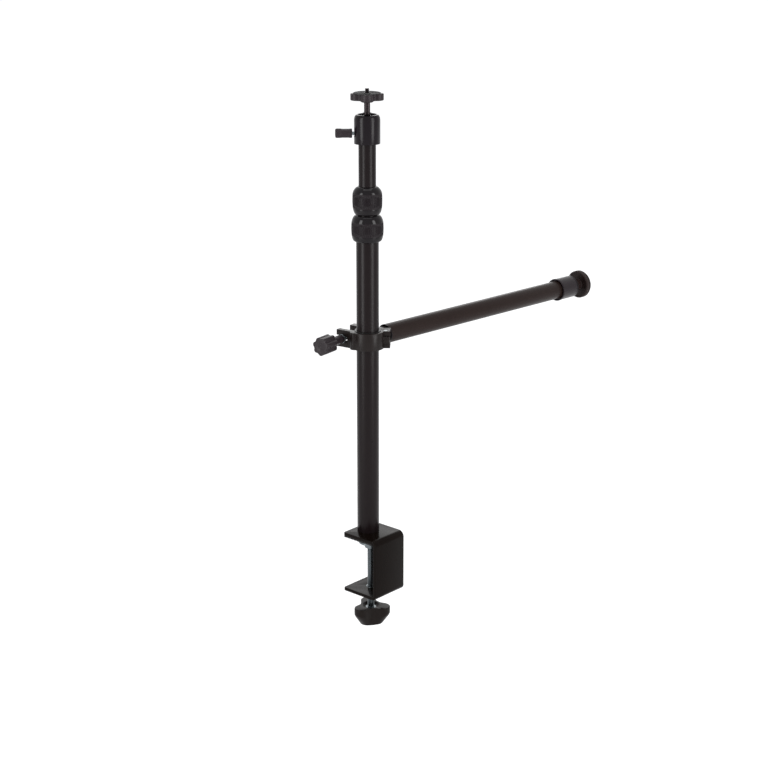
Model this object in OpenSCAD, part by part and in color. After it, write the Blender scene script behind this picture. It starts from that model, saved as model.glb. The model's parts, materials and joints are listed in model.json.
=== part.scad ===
// Desk clamp mount: a C bracket clamped to a desk edge carries a three-section column with two
// twist locks, a small ball head on top, and a clamp collar with a horizontal arm.
// Sizes are millimetres. X runs along the desk edge towards the arm, Y into the desk and Z up.
// The origin lies on the face of the desk pad, below the centre of the column.

/* [Bracket] */
// width of the bent plate along the desk edge
bracket_w = 63; // [56:0.5:75]
// thickness of the plate
plate_t = 5; // [4.5:0.5:6]
// outer face of the upright wall, behind the column
wall_reach = 42.3; // [38:0.1:50]
// jaw tips, in front of the column
jaw_reach = 21.1; // [20:0.1:30]
// clear height between the two jaws
throat_h = 82.5; // [76:0.5:100]
// outer radius of the upper bend
upper_bend_r = 9; // [7:0.5:12]
// outer radius of the lower bend
lower_bend_r = 7; // [6.5:0.5:12]
// radius of the four corners at the jaw tips
jaw_corner_r = 3; // [1:0.5:6]
// thickness of the desk pad under the upper jaw
desk_pad_t = 2.5; // [1.5:0.5:4]
// how far the desk pad stays back from the edges of the jaw
pad_inset = 1; // [0.5:0.5:3]

/* [Clamp screw] */
// how far the spindle lies behind the column, towards the upright wall
spindle_back = 4.9; // [0:0.1:10]
// diameter of the spindle
spindle_d = 10; // [8:0.5:12]
// desk thickness that the clamp stands at
desk_gap = 4.6; // [4.4:0.2:12]
// diameter of the pressure plate
foot_d = 36; // [30:1:44]
// thickness of the pressure plate
foot_t = 3; // [2:0.5:5]
// thickness of the rubber pad on the pressure plate
foot_pad_t = 2.5; // [1.5:0.5:4]
// diameter of the socket under the pressure plate
socket_d = 18; // [16:0.5:22]
// depth of the head of the spindle in that socket
socket_head_h = 3; // [2:0.5:5]
// height of the lip that holds the head of the spindle
socket_lip_h = 4.9; // [3:0.1:6]
// diameter of the neck of the spindle in the lip
spindle_neck_d = 7; // [5:0.5:7]
// outer diameter of the threaded nut in the lower jaw
nut_d = 14; // [13:0.5:18]
// diameter of the collar of that nut below the jaw
nut_collar_d = 17; // [15:0.5:24]
// thickness of the collar of that nut
nut_collar_t = 1.5; // [1:0.5:4]
// how much thinner the head of the spindle is than its socket
head_play = 0.2; // [0.1:0.05:0.4]

/* [Clamp knob] */
// radius at the tips of the three lobes
knob_tip_r = 29.5; // [26:0.5:32]
// radius of the round end of a lobe
knob_lobe_r = 11; // [9.5:0.5:13]
// height of the knob at its lobes
knob_h = 28; // [22:0.5:34]
// height of the rim of a lobe, above its taper
knob_rim_h = 10; // [8:0.5:16]
// radius of the underside of the knob
knob_base_r = 17.5; // [16.5:0.5:19]
// radius of the hub on top
knob_hub_r = 9; // [8.5:0.5:10]
// how far the hub lies below the tops of the lobes
knob_dish = 3; // [1:0.5:4]
// width of the slope from the hub up to the tops of the lobes
knob_slope = 4; // [2:0.5:5]
// rounding of the upper edge of the knob
knob_round = 3; // [1.5:0.5:4]
// height of the rounding below the rim of the lobes
knob_belly_h = 3; // [2:0.5:4]
// how far that rounding draws in
knob_belly_in = 1.5; // [1:0.5:2]
// free length of the spindle between the lower jaw and the hub of the knob
knob_gap = 29; // [22:0.5:35]
// radius of the core between the lobes
knob_core_r = 15; // [14:0.5:16]
// direction of the first lobe
knob_turn = 55; // [0:1:119]
// outer diameter of the metal insert
insert_d = 15; // [14.5:0.5:16]
// height of the metal insert
insert_h = 18; // [12:0.5:18]
// diameter of the end cap in the underside
knob_cap_d = 14; // [12:0.5:18]
// thickness of that end cap
knob_cap_t = 1.5; // [1:0.5:2.5]

/* [Column] */
// outer diameter of the main tube
main_d = 32; // [31.5:0.1:32.5]
// outer diameter of the middle tube
middle_d = 28; // [27.8:0.1:28.2]
// outer diameter of the top tube
top_d = 24.4; // [24:0.1:24.5]
// wall of the three tubes
tube_wall = 1.5; // [1.2:0.1:1.6]
// length of the main tube
main_len = 461.3; // [420:0.1:520]
// length of the middle tube
middle_len = 418; // [380:1:430]
// length of the top tube
top_len = 411; // [360:1:420]
// how far the middle tube is pulled out
middle_out = 39.5; // [39:0.5:60]
// how far the top tube is pulled out of the middle tube
top_out = 73; // [70:0.5:90]
// length of the guide bush below a tube
bush_rim_h = 6; // [4:0.5:10]
// length of the guide bush inside a tube
bush_plug_h = 14; // [8:0.5:20]
// wall of the guide bushes
bush_wall = 3.5; // [2:0.5:5]
// height of the plug in the foot of the main tube
base_plug_h = 32; // [28:1:45]
// diameter of the screw that holds the column
column_screw_d = 8; // [6:0.5:8]
// diameter of the head of that screw
column_head_d = 15; // [13:0.5:15]
// length of the thread of that screw in the plug
column_screw_grip = 22; // [14:1:25]
// least room between the plug in the foot and the guide bush of the middle tube
plug_room = 0.5; // [0.4:0.1:2]

/* [Lower lock] */
// diameter of the ribbed body of the lower lock collar
lower_lock_d = 45.5; // [44:0.5:50]
// diameter at its upper rim
lower_lock_top_d = 35; // [34.5:0.5:40]
// diameter at its lower rim
lower_lock_foot_d = 40.5; // [38:0.5:42]
// height of the lower lock collar
lower_lock_h = 36.5; // [35.5:0.5:44]
// height of its conical top
lower_lock_cone_h = 9; // [7:0.5:11]
// height of its tapered foot
lower_lock_taper_h = 8; // [5:0.5:10]
// length of the lower lock collar below its ferrule
lower_lock_skirt = 4; // [3.5:0.5:5]

/* [Upper lock] */
// gap between the two lock collars
lock_gap = 1.5; // [1:0.5:3]
// diameter of the ribbed body of the upper lock collar
upper_lock_d = 42; // [41:0.5:47]
// diameter at its upper rim
upper_lock_top_d = 27; // [27:0.5:32]
// diameter at its lower rim
upper_lock_foot_d = 36; // [34.5:0.5:38]
// height of the upper lock collar
upper_lock_h = 39.3; // [38.5:0.1:46]
// height of its conical top
upper_lock_cone_h = 9; // [7:0.5:11]
// height of its tapered foot
upper_lock_taper_h = 9; // [5:0.5:10]

/* [Lock parts] */
// share of an arc in the shoulder and the foot of a lock collar, the rest is straight
shoulder_bulge = 0.5; // [0:0.1:1]
// wall of the threaded ferrules on the tubes
ferrule_wall = 2.2; // [1.8:0.1:2.6]
// length of the ferrules
ferrule_h = 22; // [18:0.5:23]
// thickness of the rim of a ferrule over the end of its tube
ferrule_rim_t = 1.5; // [1:0.1:2]
// wall of the lower collet at its foot
lower_collet_wall = 2; // [1.6:0.1:2.2]
// wall of the upper collet at its foot
upper_collet_wall = 1.8; // [1.4:0.1:2]
// height of the collets
collet_h = 8; // [6:0.5:9]
// width of the slit in a collet
collet_slit = 2; // [1:0.5:3]
// number of ribs round a lock collar
rib_count = 60; // [36:2:72]
// width of the groove between two ribs
rib_groove_w = 0.9; // [0.6:0.1:1.2]
// depth of that groove
rib_groove_t = 0.6; // [0.3:0.1:0.9]
// how far the ribs stay back from the ends of the ribbed body
rib_back = 1; // [0.8:0.1:2]
// chamfer at the foot of a lock collar
lock_foot_edge = 0.8; // [0.4:0.1:1]

/* [Ball head] */
// diameter of the ball housing
housing_d = 36.5; // [34:0.5:40]
// height of the ball housing
housing_h = 40; // [39.4:0.2:46]
// height of the rounded shoulder of the housing
shoulder_h = 8; // [4:0.5:8]
// diameter of the flat rim on top of the housing
housing_rim_d = 29; // [28.5:0.5:30]
// radius of the ball
ball_r = 11; // [10.5:0.5:11.5]
// how far the centre of the ball lies below the rim
ball_depth = 11.3; // [11.1:0.1:11.8]
// diameter of the mouth at the rim
mouth_d = 26.8; // [26:0.2:27.4]
// how far the lip over the ball lies above its centre
lip_up = 4.5; // [4:0.1:5]
// diameter of the stem above the ball
stem_d = 8.5; // [8:0.1:9]
// diameter of the flared foot of the stem
stem_foot_d = 12; // [10:0.5:12]
// height of that foot
stem_foot_h = 3; // [2:0.5:4]
// top of the stem above the rim of the housing
stem_rise = 16.4; // [13:0.2:20]
// diameter of the plastic seat
seat_d = 19; // [17:0.5:20]
// how far the top of the seat lies below the centre of the ball
seat_drop = 5; // [4.5:0.1:6]
// how far its chamber reaches above that
seat_play = 1; // [0.5:0.1:1.5]
// height of the side screw above the foot of the housing
side_screw_up = 14; // [13:0.1:14.2]
// direction of the side screw
side_screw_az = 132; // [90:1:180]
// diameter of the side screw
side_screw_d = 5; // [4:0.5:6]
// bright length of the side screw outside the housing
side_screw_free = 2.5; // [2:0.5:12]
// width of the sunk flat round the side screw
side_flat_w = 2.2; // [1:0.1:3]
// depth of that flat
side_flat_t = 2.5; // [1:0.1:3]
// distance of the tip of the side screw from the middle
side_tip_at = 3; // [2:0.5:4]
// radius of that tip
side_tip_r = 0.5; // [0.3:0.1:1]
// length of the cone behind the tip
side_cone_len = 4.5; // [3.5:0.5:5]
// diameter of the side knob
side_knob_d = 13; // [12:0.5:18]
// length of the side knob
side_knob_len = 23.5; // [16:0.5:26]
// diameter of the waist of the side knob
side_knob_waist_d = 12.4; // [9:0.1:12.6]
// length of the knurled grip of the side knob
side_grip_len = 8; // [6:0.5:10]
// chamfers of the side knob
side_knob_edge = 0.8; // [0.4:0.1:1.2]
// length of the slopes of its waist
side_slope_len = 2; // [1:0.5:3]
// length of its collar at the screw
side_collar_len = 3; // [2.5:0.5:4]
// length of the knob beyond the end of the screw
side_knob_cap_t = 4; // [3:0.5:6]
// number of flutes in its grip
side_flute_count = 20; // [12:1:24]
// width of a flute
side_flute_w = 1; // [0.6:0.1:1.2]
// depth of a flute
side_flute_t = 0.4; // [0.2:0.1:0.6]
// diameter of the plug in the top tube, where it carries the housing
plug_stud_d = 8; // [6:0.5:8]
// how far that stud stays below the chamber of the seat
plug_stud_back = 2; // [1:0.5:3]
// length of the plug inside the top tube
top_plug_len = 24; // [18:1:30]

/* [Lock wheel] */
// radius at the tips of the four lobes
wheel_tip_r = 23; // [21:0.1:26]
// width of a lobe
wheel_lobe_w = 18; // [14:0.5:19]
// thickness of the lock wheel
wheel_t = 9.4; // [6:0.1:11]
// diameter of the hub under the wheel
wheel_hub_d = 16; // [15:0.5:20]
// height of that hub
wheel_hub_h = 3; // [2:0.1:6]
// radius of the web between the lobes
wheel_web_r = 14; // [12:0.5:16]
// direction of the first lobe of the wheel
wheel_turn = 42; // [0:1:89]
// diameter of the friction disc
friction_d = 38; // [30:0.5:42]
// thickness of the friction disc
friction_t = 1; // [0.6:0.1:3]
// diameter of a quarter inch stud
stud_d = 6.35; // [6.3:0.01:6.4]
// length of a stud above its disc
stud_proud = 6; // [4:0.5:8]
// half the width of the relief groove at the root of a stud
stud_relief_w = 0.5; // [0.3:0.1:0.8]
// depth of that groove
stud_relief_t = 0.4; // [0.2:0.1:0.6]
// how far a stud starts above the rim of the housing, inside the stem
stud_root = 1; // [0.6:0.1:2]

/* [Collar] */
// height of the middle of the collar above the desk
collar_z = 300.5; // [250:0.5:340]
// height of the collar
collar_h = 25; // [22:0.5:30]
// wall of the plastic liner between the column and the collar
liner_wall = 1.5; // [1:0.1:2]
// thickness of the rims of the liner above and below the collar
liner_proud = 0.8; // [0.5:0.1:2]
// how far those rims reach out over the collar
liner_rim = 1.2; // [0.8:0.1:2]
// width of the slit in the liner
liner_slit = 2; // [1:0.5:4]
// wall of the collar round the liner
collar_wall = 6; // [5:0.5:8]
// direction of the collar screw
screw_az = 8.2; // [0:0.2:20]
// distance of the collar screw from the middle of the column
screw_out = 31.8; // [31:0.2:36]
// diameter of the collar screw
collar_screw_d = 8; // [6:0.5:8]
// gap between the two ears
ear_gap = 21.2; // [19:0.2:24]
// radius of the rounded shoulder of the gate beside its ear
shoulder_r = 7; // [6:0.5:8]
// how far the centre of that shoulder lies inside the face of the ear
shoulder_in = 1.2; // [0.6:0.1:2]
// distance of that centre from the middle of the column, along the ear
shoulder_y = 10.5; // [9:0.5:12]
// width of the open slot in the ear of the gate
slot_w = 8.8; // [8.6:0.1:10]
// how far the slot reaches in past the screw
slot_in = 4.4; // [1:0.1:5]
// thickness of the ear on the gate
gate_ear_t = 8; // [6:0.5:9]
// thickness of the ear on the rear half
rear_ear_t = 11; // [10:0.5:13]
// how far the ear of the gate reaches past the screw
gate_ear_past = 9.7; // [8:0.1:12]
// how far the ear of the rear half reaches past the screw
rear_ear_past = 6.6; // [6:0.1:12]
// thickness of the washer under the knob
washer_t = 2; // [1:0.5:3]
// diameter of that washer
washer_d = 13.4; // [12:0.2:16]
// width of the nut on the rear ear, across its corners
nut_corner_d = 14.6; // [13:0.2:15]
// height of that nut
collar_nut_h = 6.5; // [5:0.5:7]
// length of the screw beyond that nut
screw_proud = 10; // [10:0.5:14]
// distance of the hinge pin from the middle of the column
hinge_out = 25.4; // [24.4:0.1:26]
// direction of the hinge pin
hinge_az = -48; // [-56:1:-44]
// diameter of the hinge pin
hinge_pin_d = 5; // [4:0.5:5]
// radius of the knuckle of the gate
knuckle_r = 6; // [5:0.1:6]
// height of the knuckle of the gate
knuckle_h = 10; // [8:0.5:12]
// how far the hinge block reaches out from the middle of the column
block_out = 32; // [30.6:0.1:33]
// direction in which the hinge block points
block_az = -51; // [-56:1:-46]
// length of the hinge block beyond the column's middle, towards the arm
block_right = 16; // [15:0.5:22]
// length of the hinge block the other way
block_left = 3.7; // [3:0.1:5]
// how far the web of the knuckle reaches into the ring of the gate
knuckle_web_in = 2; // [1:0.5:3]

/* [Star knob] */
// diameter of the star knob
star_d = 27; // [24:0.5:32]
// length of the star knob
star_len = 26; // [20:0.5:32]
// number of its lobes
star_lobes = 7; // [5:1:8]
// radius of a lobe
star_lobe_r = 3.4; // [2.5:0.1:4]
// depth of the screw in the grip of the knob
star_grip_len = 20; // [12:1:24]
// chamfer of the grip of the knob
star_edge = 1.2; // [0.6:0.1:2]
// how far the middle of the grip reaches past the centres of its lobes
star_web = 1.4; // [0.4:0.1:1.5]
// diameter of its boss
star_boss_d = 12.6; // [12:0.1:15]
// length of its boss
star_boss_len = 25.5; // [20:0.5:30]

/* [Arm] */
// outer diameter of the arm tube
arm_d = 28; // [26:0.5:30]
// wall of the arm tube
arm_wall = 1.6; // [1.2:0.1:2]
// direction of the arm
arm_az = -4.5; // [-8:0.5:0]
// height of the arm above the middle of the collar
arm_up = 1; // [0:0.5:1.5]
// where the arm tube starts, from the middle of the column
arm_start = 34; // [33:0.5:42]
// thickness of the flange between the neck and the arm tube
arm_flange_t = 1.5; // [1:0.5:3]
// length of the arm tube
arm_len = 404.5; // [300:0.5:500]
// diameter of the neck that joins the collar to the arm
arm_neck_d = 22; // [20:0.5:23]
// length of the plugs inside the arm tube
arm_plug_len = 28; // [24:1:40]
// diameter of the screw in the neck
arm_screw_d = 8; // [6:0.5:8]
// length of that screw in the arm
arm_screw_grip = 22; // [14:1:24]
// diameter of the head of that screw
arm_head_d = 14; // [12:0.5:14.5]
// how far that head is sunk below the liner
arm_head_sink = 0.1; // [0.1:0.1:0.4]
// how far the neck reaches into the collar
arm_neck_in = 5; // [4:0.1:5.5]

/* [Arm end] */
// length of the sleeve at the end of the arm
sleeve_len = 33; // [28:0.5:50]
// outer diameter of the sleeve
sleeve_d = 34; // [33:0.5:38]
// diameter of the lip at the inner end of the sleeve
sleeve_lip_d = 35; // [34:0.5:40]
// length of that lip
sleeve_lip_len = 3; // [2:0.5:6]
// diameter of the open gap under the lip
sleeve_mouth_d = 31.4; // [30:0.1:32]
// depth of that gap
sleeve_mouth_depth = 4; // [2:0.5:6]
// thickness of the flange over the end of the tube
flange_t = 2.5; // [1.5:0.5:4]
// diameter of the neck behind the disc
end_neck_d = 15; // [12:0.5:18]
// length of that neck
end_neck_len = 10; // [6:0.5:16]
// diameter of the disc at the end of the arm
disc_d = 43.4; // [38:0.2:50]
// thickness of that disc
disc_t = 8; // [6:0.5:12]
// length of the hub behind the disc
disc_hub_len = 6.2; // [4:0.1:12]
// depth of the dish in the back of the disc
disc_dish = 1.6; // [1:0.1:2.5]
// bevel of the rim of the disc
disc_bevel = 1.4; // [0.6:0.1:2]
// width of the rim round the dish
disc_rim_w = 3; // [2:0.5:5]
// how far the hub of the disc is wider than the neck, to each side
disc_hub_more = 1; // [0.5:0.5:2]
// length of the stud in the neck
stud_grip = 8; // [6:0.5:10]
// thickness of the pad in front of the disc
end_pad_t = 2; // [1:0.5:4]
// diameter of that pad
end_pad_d = 40; // [34:0.5:43]

/* [Fits] */
// radial clearance of pieces that turn or slide in each other
run_gap = 0.05; // [0.03:0.01:0.08]
// radial clearance of pieces that are assembled for good
seat_gap = 0.03; // [0.02:0.01:0.05]
// clearance of faces that move past each other
face_gap = 0.3; // [0.2:0.05:0.4]

/* [Hidden] */
$fn = 96;
over = 1;
far = 200;
bracket_x0 = -bracket_w / 2;
upper_jaw_z = desk_pad_t + plate_t;
lower_jaw_top = desk_pad_t - throat_h;
lower_jaw_z = lower_jaw_top - plate_t;
foot_top = -desk_gap;
plate_top = foot_top - foot_pad_t;
plate_under = plate_top - foot_t;
socket_z = plate_under - socket_head_h - socket_lip_h;
head_top = plate_under - face_gap;
head_under = plate_under - socket_head_h + face_gap;
neck_under = socket_z - face_gap;
knob_hub_z = lower_jaw_z - knob_gap;
knob_top = knob_hub_z + knob_dish;
knob_under = knob_top - knob_h;
insert_top = knob_hub_z;
insert_under = insert_top - insert_h;
spindle_end = insert_under;
main_top = upper_jaw_z + main_len;
middle_top = main_top + middle_out;
middle_foot = middle_top - middle_len;
base_plug_top = min(upper_jaw_z + base_plug_h, middle_foot - bush_rim_h - plug_room);
column_screw_end = min(upper_jaw_z + column_screw_grip, base_plug_top - plug_room - over);
top_top = middle_top + top_out;
top_foot = top_top - top_len;
main_bore = main_d - 2 * tube_wall;
middle_bore = middle_d - 2 * tube_wall;
top_bore = top_d - 2 * tube_wall;
ferrule_below = ferrule_h - ferrule_rim_t;
lower_lock_z = main_top - ferrule_below - lower_lock_skirt;
lower_lock_top = lower_lock_z + lower_lock_h;
upper_lock_z = lower_lock_top + lock_gap;
upper_lock_top = upper_lock_z + upper_lock_h;
housing_z = top_top;
rim_z = housing_z + housing_h;
ball_z = rim_z - ball_depth;
side_z = housing_z + side_screw_up;
seat_under = side_z + side_screw_d / 2 + face_gap;
seat_chamber_z = side_z - side_screw_d / 2 - face_gap;
side_knob_start = housing_d / 2 + side_screw_free;
side_knob_end = side_knob_start + side_knob_len;
stem_top = rim_z + stem_rise;
wheel_z = stem_top + wheel_hub_h;
wheel_top = wheel_z + wheel_t;
liner_r = main_d / 2 + run_gap;
collar_r = liner_r + liner_wall + seat_gap;
collar_out_r = collar_r + collar_wall;
collar_foot = collar_z - collar_h / 2;
collar_top = collar_z + collar_h / 2;
gate_face = -ear_gap / 2 - gate_ear_t;
shoulder_x = gate_face + shoulder_in;
arm_head_s = collar_r + arm_head_sink;
rear_face = ear_gap / 2 + rear_ear_t;
nut_end = rear_face + collar_nut_h;
star_boss_end = gate_face - washer_t - star_boss_len;
hinge_x = hinge_out * cos(hinge_az - screw_az);
hinge_y = hinge_out * sin(hinge_az - screw_az);
block_turn = block_az - screw_az + 90;
hinge_t = hinge_x * cos(block_turn) + hinge_y * sin(block_turn);
hinge_n = hinge_x * sin(block_turn) - hinge_y * cos(block_turn);
gate_end_t = -block_left - face_gap;
arm_z = collar_z + arm_up;
tube_start = arm_start + arm_flange_t;
arm_end = tube_start + arm_len;
arm_bore = arm_d - 2 * arm_wall;
flange_end = arm_end + flange_t;
neck_end = flange_end + end_neck_len;
disc_hub_start = neck_end + face_gap;
disc_back = disc_hub_start + disc_hub_len;
disc_front = disc_back + disc_t;
black = [0.16, 0.15, 0.16];
gloss = [0.13, 0.12, 0.13];
dark = [0.24, 0.23, 0.24];
zinc = [0.72, 0.75, 0.76];
rubber = [0.09, 0.09, 0.09];
violet = [0.33, 0.30, 0.33];

// round bar from height z0 to height z1
module bar(r, z0, z1) {
    translate([0, 0, z0]) cylinder(r = r, h = z1 - z0);
}

// round tube from height z0 to height z1
module pipe(r_out, r_in, z0, z1) {
    difference() {
        bar(r_out, z0, z1);
        bar(r_in, z0 - over, z1 + over);
    }
}

// places children whose Z axis is to point along the arm
module on_arm() {
    translate([0, 0, arm_z]) rotate([0, 0, arm_az]) rotate([0, 90, 0]) children();
}

// places children drawn in the collar's own plan, with the screw along its X
module on_collar() {
    rotate([0, 0, screw_az]) children();
}

// places children whose Z axis is to point along the collar screw
module on_screw() {
    on_collar() translate([0, screw_out, collar_z]) rotate([0, 90, 0]) children();
}

// places children whose Z axis is to point along the side screw, out of the housing
module on_side() {
    translate([0, 0, side_z]) rotate([0, 0, side_screw_az]) rotate([0, 90, 0]) children();
}

// places children on the axis of the spindle
module on_spindle() {
    translate([0, -spindle_back, 0]) children();
}

// quarter of a bent plate in its own plan, outside corner at the origin
module bend(r_out, t) {
    translate([r_out, r_out]) intersection() {
        difference() {
            circle(r = r_out);
            circle(r = r_out - t);
        }
        translate([-r_out, -r_out]) square(r_out);
    }
}

// cuts one vertical corner of a jaw round
module corner_cut(x, side, z0, z1) {
    translate([x, jaw_reach, z0 - over]) difference() {
        translate([side > 0 ? -jaw_corner_r : -over, -jaw_corner_r, 0])
            cube([jaw_corner_r + over, jaw_corner_r + over, z1 - z0 + 2 * over]);
        translate([-side * jaw_corner_r, -jaw_corner_r, -over])
            cylinder(r = jaw_corner_r, h = z1 - z0 + 4 * over);
    }
}

module clamp_bracket() color(gloss) difference() {
    translate([bracket_x0, 0, 0]) rotate([90, 0, 90]) linear_extrude(bracket_w) {
        translate([-wall_reach, upper_jaw_z]) mirror([0, 1]) bend(upper_bend_r, plate_t);
        translate([-wall_reach, lower_jaw_z]) bend(lower_bend_r, plate_t);
        translate([upper_bend_r - wall_reach, desk_pad_t])
            square([jaw_reach + wall_reach - upper_bend_r, plate_t]);
        translate([lower_bend_r - wall_reach, lower_jaw_z])
            square([jaw_reach + wall_reach - lower_bend_r, plate_t]);
        translate([-wall_reach, lower_jaw_z + lower_bend_r])
            square([plate_t, upper_jaw_z - lower_jaw_z - lower_bend_r - upper_bend_r]);
    }
    corner_cut(bracket_x0, -1, lower_jaw_z, upper_jaw_z);
    corner_cut(bracket_x0 + bracket_w, 1, lower_jaw_z, upper_jaw_z);
    bar(column_screw_d / 2 + face_gap, desk_pad_t - over, upper_jaw_z + over);
    column_head(seat_gap);
    on_spindle() bar(nut_d / 2, lower_jaw_z - over, lower_jaw_top + over);
}

// countersunk head in the underside of the upper jaw, grown by a clearance
module column_head(grow) {
    head_r = column_head_d / 2;
    shank_r = column_screw_d / 2;
    translate([0, 0, desk_pad_t])
        cylinder(r1 = head_r + grow, r2 = shank_r + grow, h = head_r - shank_r);
}

module desk_pad() color(rubber) {
    pad_y0 = upper_bend_r - wall_reach;
    translate([bracket_x0 + pad_inset, pad_y0, 0])
        cube([bracket_w - 2 * pad_inset, jaw_reach - pad_inset - pad_y0, desk_pad_t]);
}

module clamp_nut() color(zinc) on_spindle() difference() {
    union() {
        bar(nut_d / 2 - seat_gap, lower_jaw_z, lower_jaw_top);
        bar(nut_collar_d / 2, lower_jaw_z - nut_collar_t, lower_jaw_z);
    }
    bar(spindle_d / 2 + run_gap, lower_jaw_z - nut_collar_t - over, lower_jaw_top + over);
}

module clamp_spindle() color(zinc) on_spindle() {
    bar(spindle_d / 2, spindle_end, neck_under);
    bar(spindle_neck_d / 2, neck_under, head_under);
    bar(spindle_d / 2 - head_play, head_under, head_top);
}

module pressure_plate() color(zinc) on_spindle() difference() {
    union() {
        bar(foot_d / 2, plate_under, plate_top);
        bar(socket_d / 2, socket_z, plate_under);
    }
    bar(spindle_d / 2 + run_gap, plate_under - socket_head_h, plate_under);
    bar(spindle_neck_d / 2 + run_gap, socket_z - over, plate_under - socket_head_h + over);
}

module pressure_pad() color(rubber) on_spindle()
    bar(foot_d / 2 - pad_inset, plate_top, foot_top);

// plan of the clamp knob, with its first lobe along X
module knob_plan() {
    lobe_at = knob_tip_r - knob_lobe_r;
    circle(r = knob_core_r);
    for (i = [0:2]) rotate(120 * i) {
        translate([lobe_at, 0]) circle(r = knob_lobe_r);
        translate([0, -knob_lobe_r]) square([lobe_at, 2 * knob_lobe_r]);
    }
}

// outline of a rounded upper edge of a turned piece
function rounded(r, top, e) = [for (a = [0:22.5:90]) [r - e + e * cos(a), top - e + e * sin(a)]];

module clamp_knob() color(black) on_spindle() difference() {
    intersection() {
        rotate([0, 0, knob_turn]) translate([0, 0, knob_under]) linear_extrude(knob_h + over)
            knob_plan();
        rotate_extrude() polygon([
            [0, knob_under],
            [knob_base_r, knob_under],
            [knob_tip_r - knob_belly_in, knob_top - knob_rim_h - knob_belly_h],
            [knob_tip_r, knob_top - knob_rim_h],
            each rounded(knob_tip_r, knob_top, knob_round),
            [knob_hub_r + knob_slope, knob_top],
            [knob_hub_r, knob_hub_z],
            [0, knob_hub_z]
        ]);
    }
    bar(insert_d / 2 + seat_gap, insert_under, knob_hub_z + over);
    bar(knob_cap_d / 2 + seat_gap, knob_under - over, knob_under + knob_cap_t);
}

module knob_insert() color(zinc) on_spindle()
    pipe(insert_d / 2, spindle_d / 2 + seat_gap, insert_under, insert_top);

module knob_cap() color(dark) on_spindle()
    bar(knob_cap_d / 2, knob_under, knob_under + knob_cap_t);

module column_screw() color(zinc) {
    column_head(0);
    bar(column_screw_d / 2, desk_pad_t, column_screw_end);
}

module column_base_plug() color(dark)
    difference() {
        bar(main_bore / 2 - seat_gap, upper_jaw_z, base_plug_top);
        bar(column_screw_d / 2 + seat_gap, upper_jaw_z - over, column_screw_end + over);
    }

module main_tube() color(black)
    pipe(main_d / 2, main_bore / 2, upper_jaw_z, main_top);

// threaded ferrule over the top end of a tube, with a rim over the end of the tube
module lock_ferrule(tube_d, inner_d, tube_end) {
    r_out = tube_d / 2 + ferrule_wall;
    difference() {
        bar(r_out, tube_end - ferrule_below, tube_end - ferrule_below + ferrule_h);
        bar(tube_d / 2 + seat_gap, tube_end - ferrule_below - over, tube_end);
        bar(inner_d / 2 + face_gap, tube_end - over, tube_end + ferrule_h);
    }
}

// slit collet that grips the inner tube, above the ferrule
module lock_collet(inner_d, wall, z0) {
    difference() {
        translate([0, 0, z0])
            cylinder(r1 = inner_d / 2 + run_gap + wall, r2 = inner_d / 2 + run_gap + wall / 2, h = collet_h);
        bar(inner_d / 2 + run_gap, z0 - over, z0 + collet_h + over);
        translate([0, -collet_slit / 2, z0 - over]) cube([far, collet_slit, collet_h + 2 * over]);
    }
}

// outline of the shoulder of a lock collar, from its ribbed body to its rim
function shoulder(body_r, rim_r, h, top) = [
    for (a = [0:15:90]) [
        rim_r + (body_r - rim_r) * ((1 - shoulder_bulge) * (1 - a / 90) + shoulder_bulge * cos(a)),
        top - h + h * ((1 - shoulder_bulge) * a / 90 + shoulder_bulge * sin(a))
    ]
];

// outline of the foot of a lock collar, from its lower rim to its ribbed body
function foot(body_r, rim_r, h, z0) = [
    for (a = [90:-15:0]) [
        rim_r + (body_r - rim_r) * ((1 - shoulder_bulge) * (1 - a / 90) + shoulder_bulge * cos(a)),
        z0 + h - h * ((1 - shoulder_bulge) * a / 90 + shoulder_bulge * sin(a))
    ]
];

// vertical grooves between the ribs of a lock collar
module rib_grooves(d, z0, z1) {
    for (i = [0:rib_count - 1]) rotate([0, 0, 360 * i / rib_count])
        translate([d / 2 - rib_groove_t, -rib_groove_w / 2, z0]) cube([far, rib_groove_w, z1 - z0]);
}

// hollow of a lock collar: a foot bore on the outer tube, a chamber for ferrule and collet,
// and a throat round the inner tube
module lock_hollow(tube_d, inner_d, tube_end, z0, z1, collet_wall) {
    chamber_r = tube_d / 2 + ferrule_wall + run_gap;
    collet_z = tube_end - ferrule_below + ferrule_h;
    bar(tube_d / 2 + run_gap, z0 - over, tube_end - ferrule_below);
    bar(chamber_r, tube_end - ferrule_below - face_gap, collet_z + face_gap);
    translate([0, 0, collet_z])
        cylinder(
            r1 = inner_d / 2 + 2 * run_gap + collet_wall,
            r2 = inner_d / 2 + 2 * run_gap + collet_wall / 2,
            h = collet_h + face_gap
        );
    bar(inner_d / 2 + face_gap, z0, z1 + over);
}

module lower_lock_ferrule() color(dark) lock_ferrule(main_d, middle_d, main_top);

module lower_lock_collet() color(dark)
    lock_collet(middle_d, lower_collet_wall, main_top - ferrule_below + ferrule_h);

module lower_lock_collar() color(black) difference() {
    top = lower_lock_top;
    rotate_extrude() polygon([
        [0, lower_lock_z],
        [lower_lock_foot_d / 2 - lock_foot_edge, lower_lock_z],
        each foot(lower_lock_d / 2, lower_lock_foot_d / 2, lower_lock_taper_h - lock_foot_edge,
            lower_lock_z + lock_foot_edge),
        each shoulder(lower_lock_d / 2, lower_lock_top_d / 2, lower_lock_cone_h, top),
        [0, top]
    ]);
    lock_hollow(main_d, middle_d, main_top, lower_lock_z, top, lower_collet_wall);
    rib_grooves(lower_lock_d, lower_lock_z + lower_lock_taper_h + rib_back,
        top - lower_lock_cone_h - rib_back);
}

module middle_tube() color(black)
    pipe(middle_d / 2, middle_bore / 2, middle_foot, middle_top);

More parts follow.
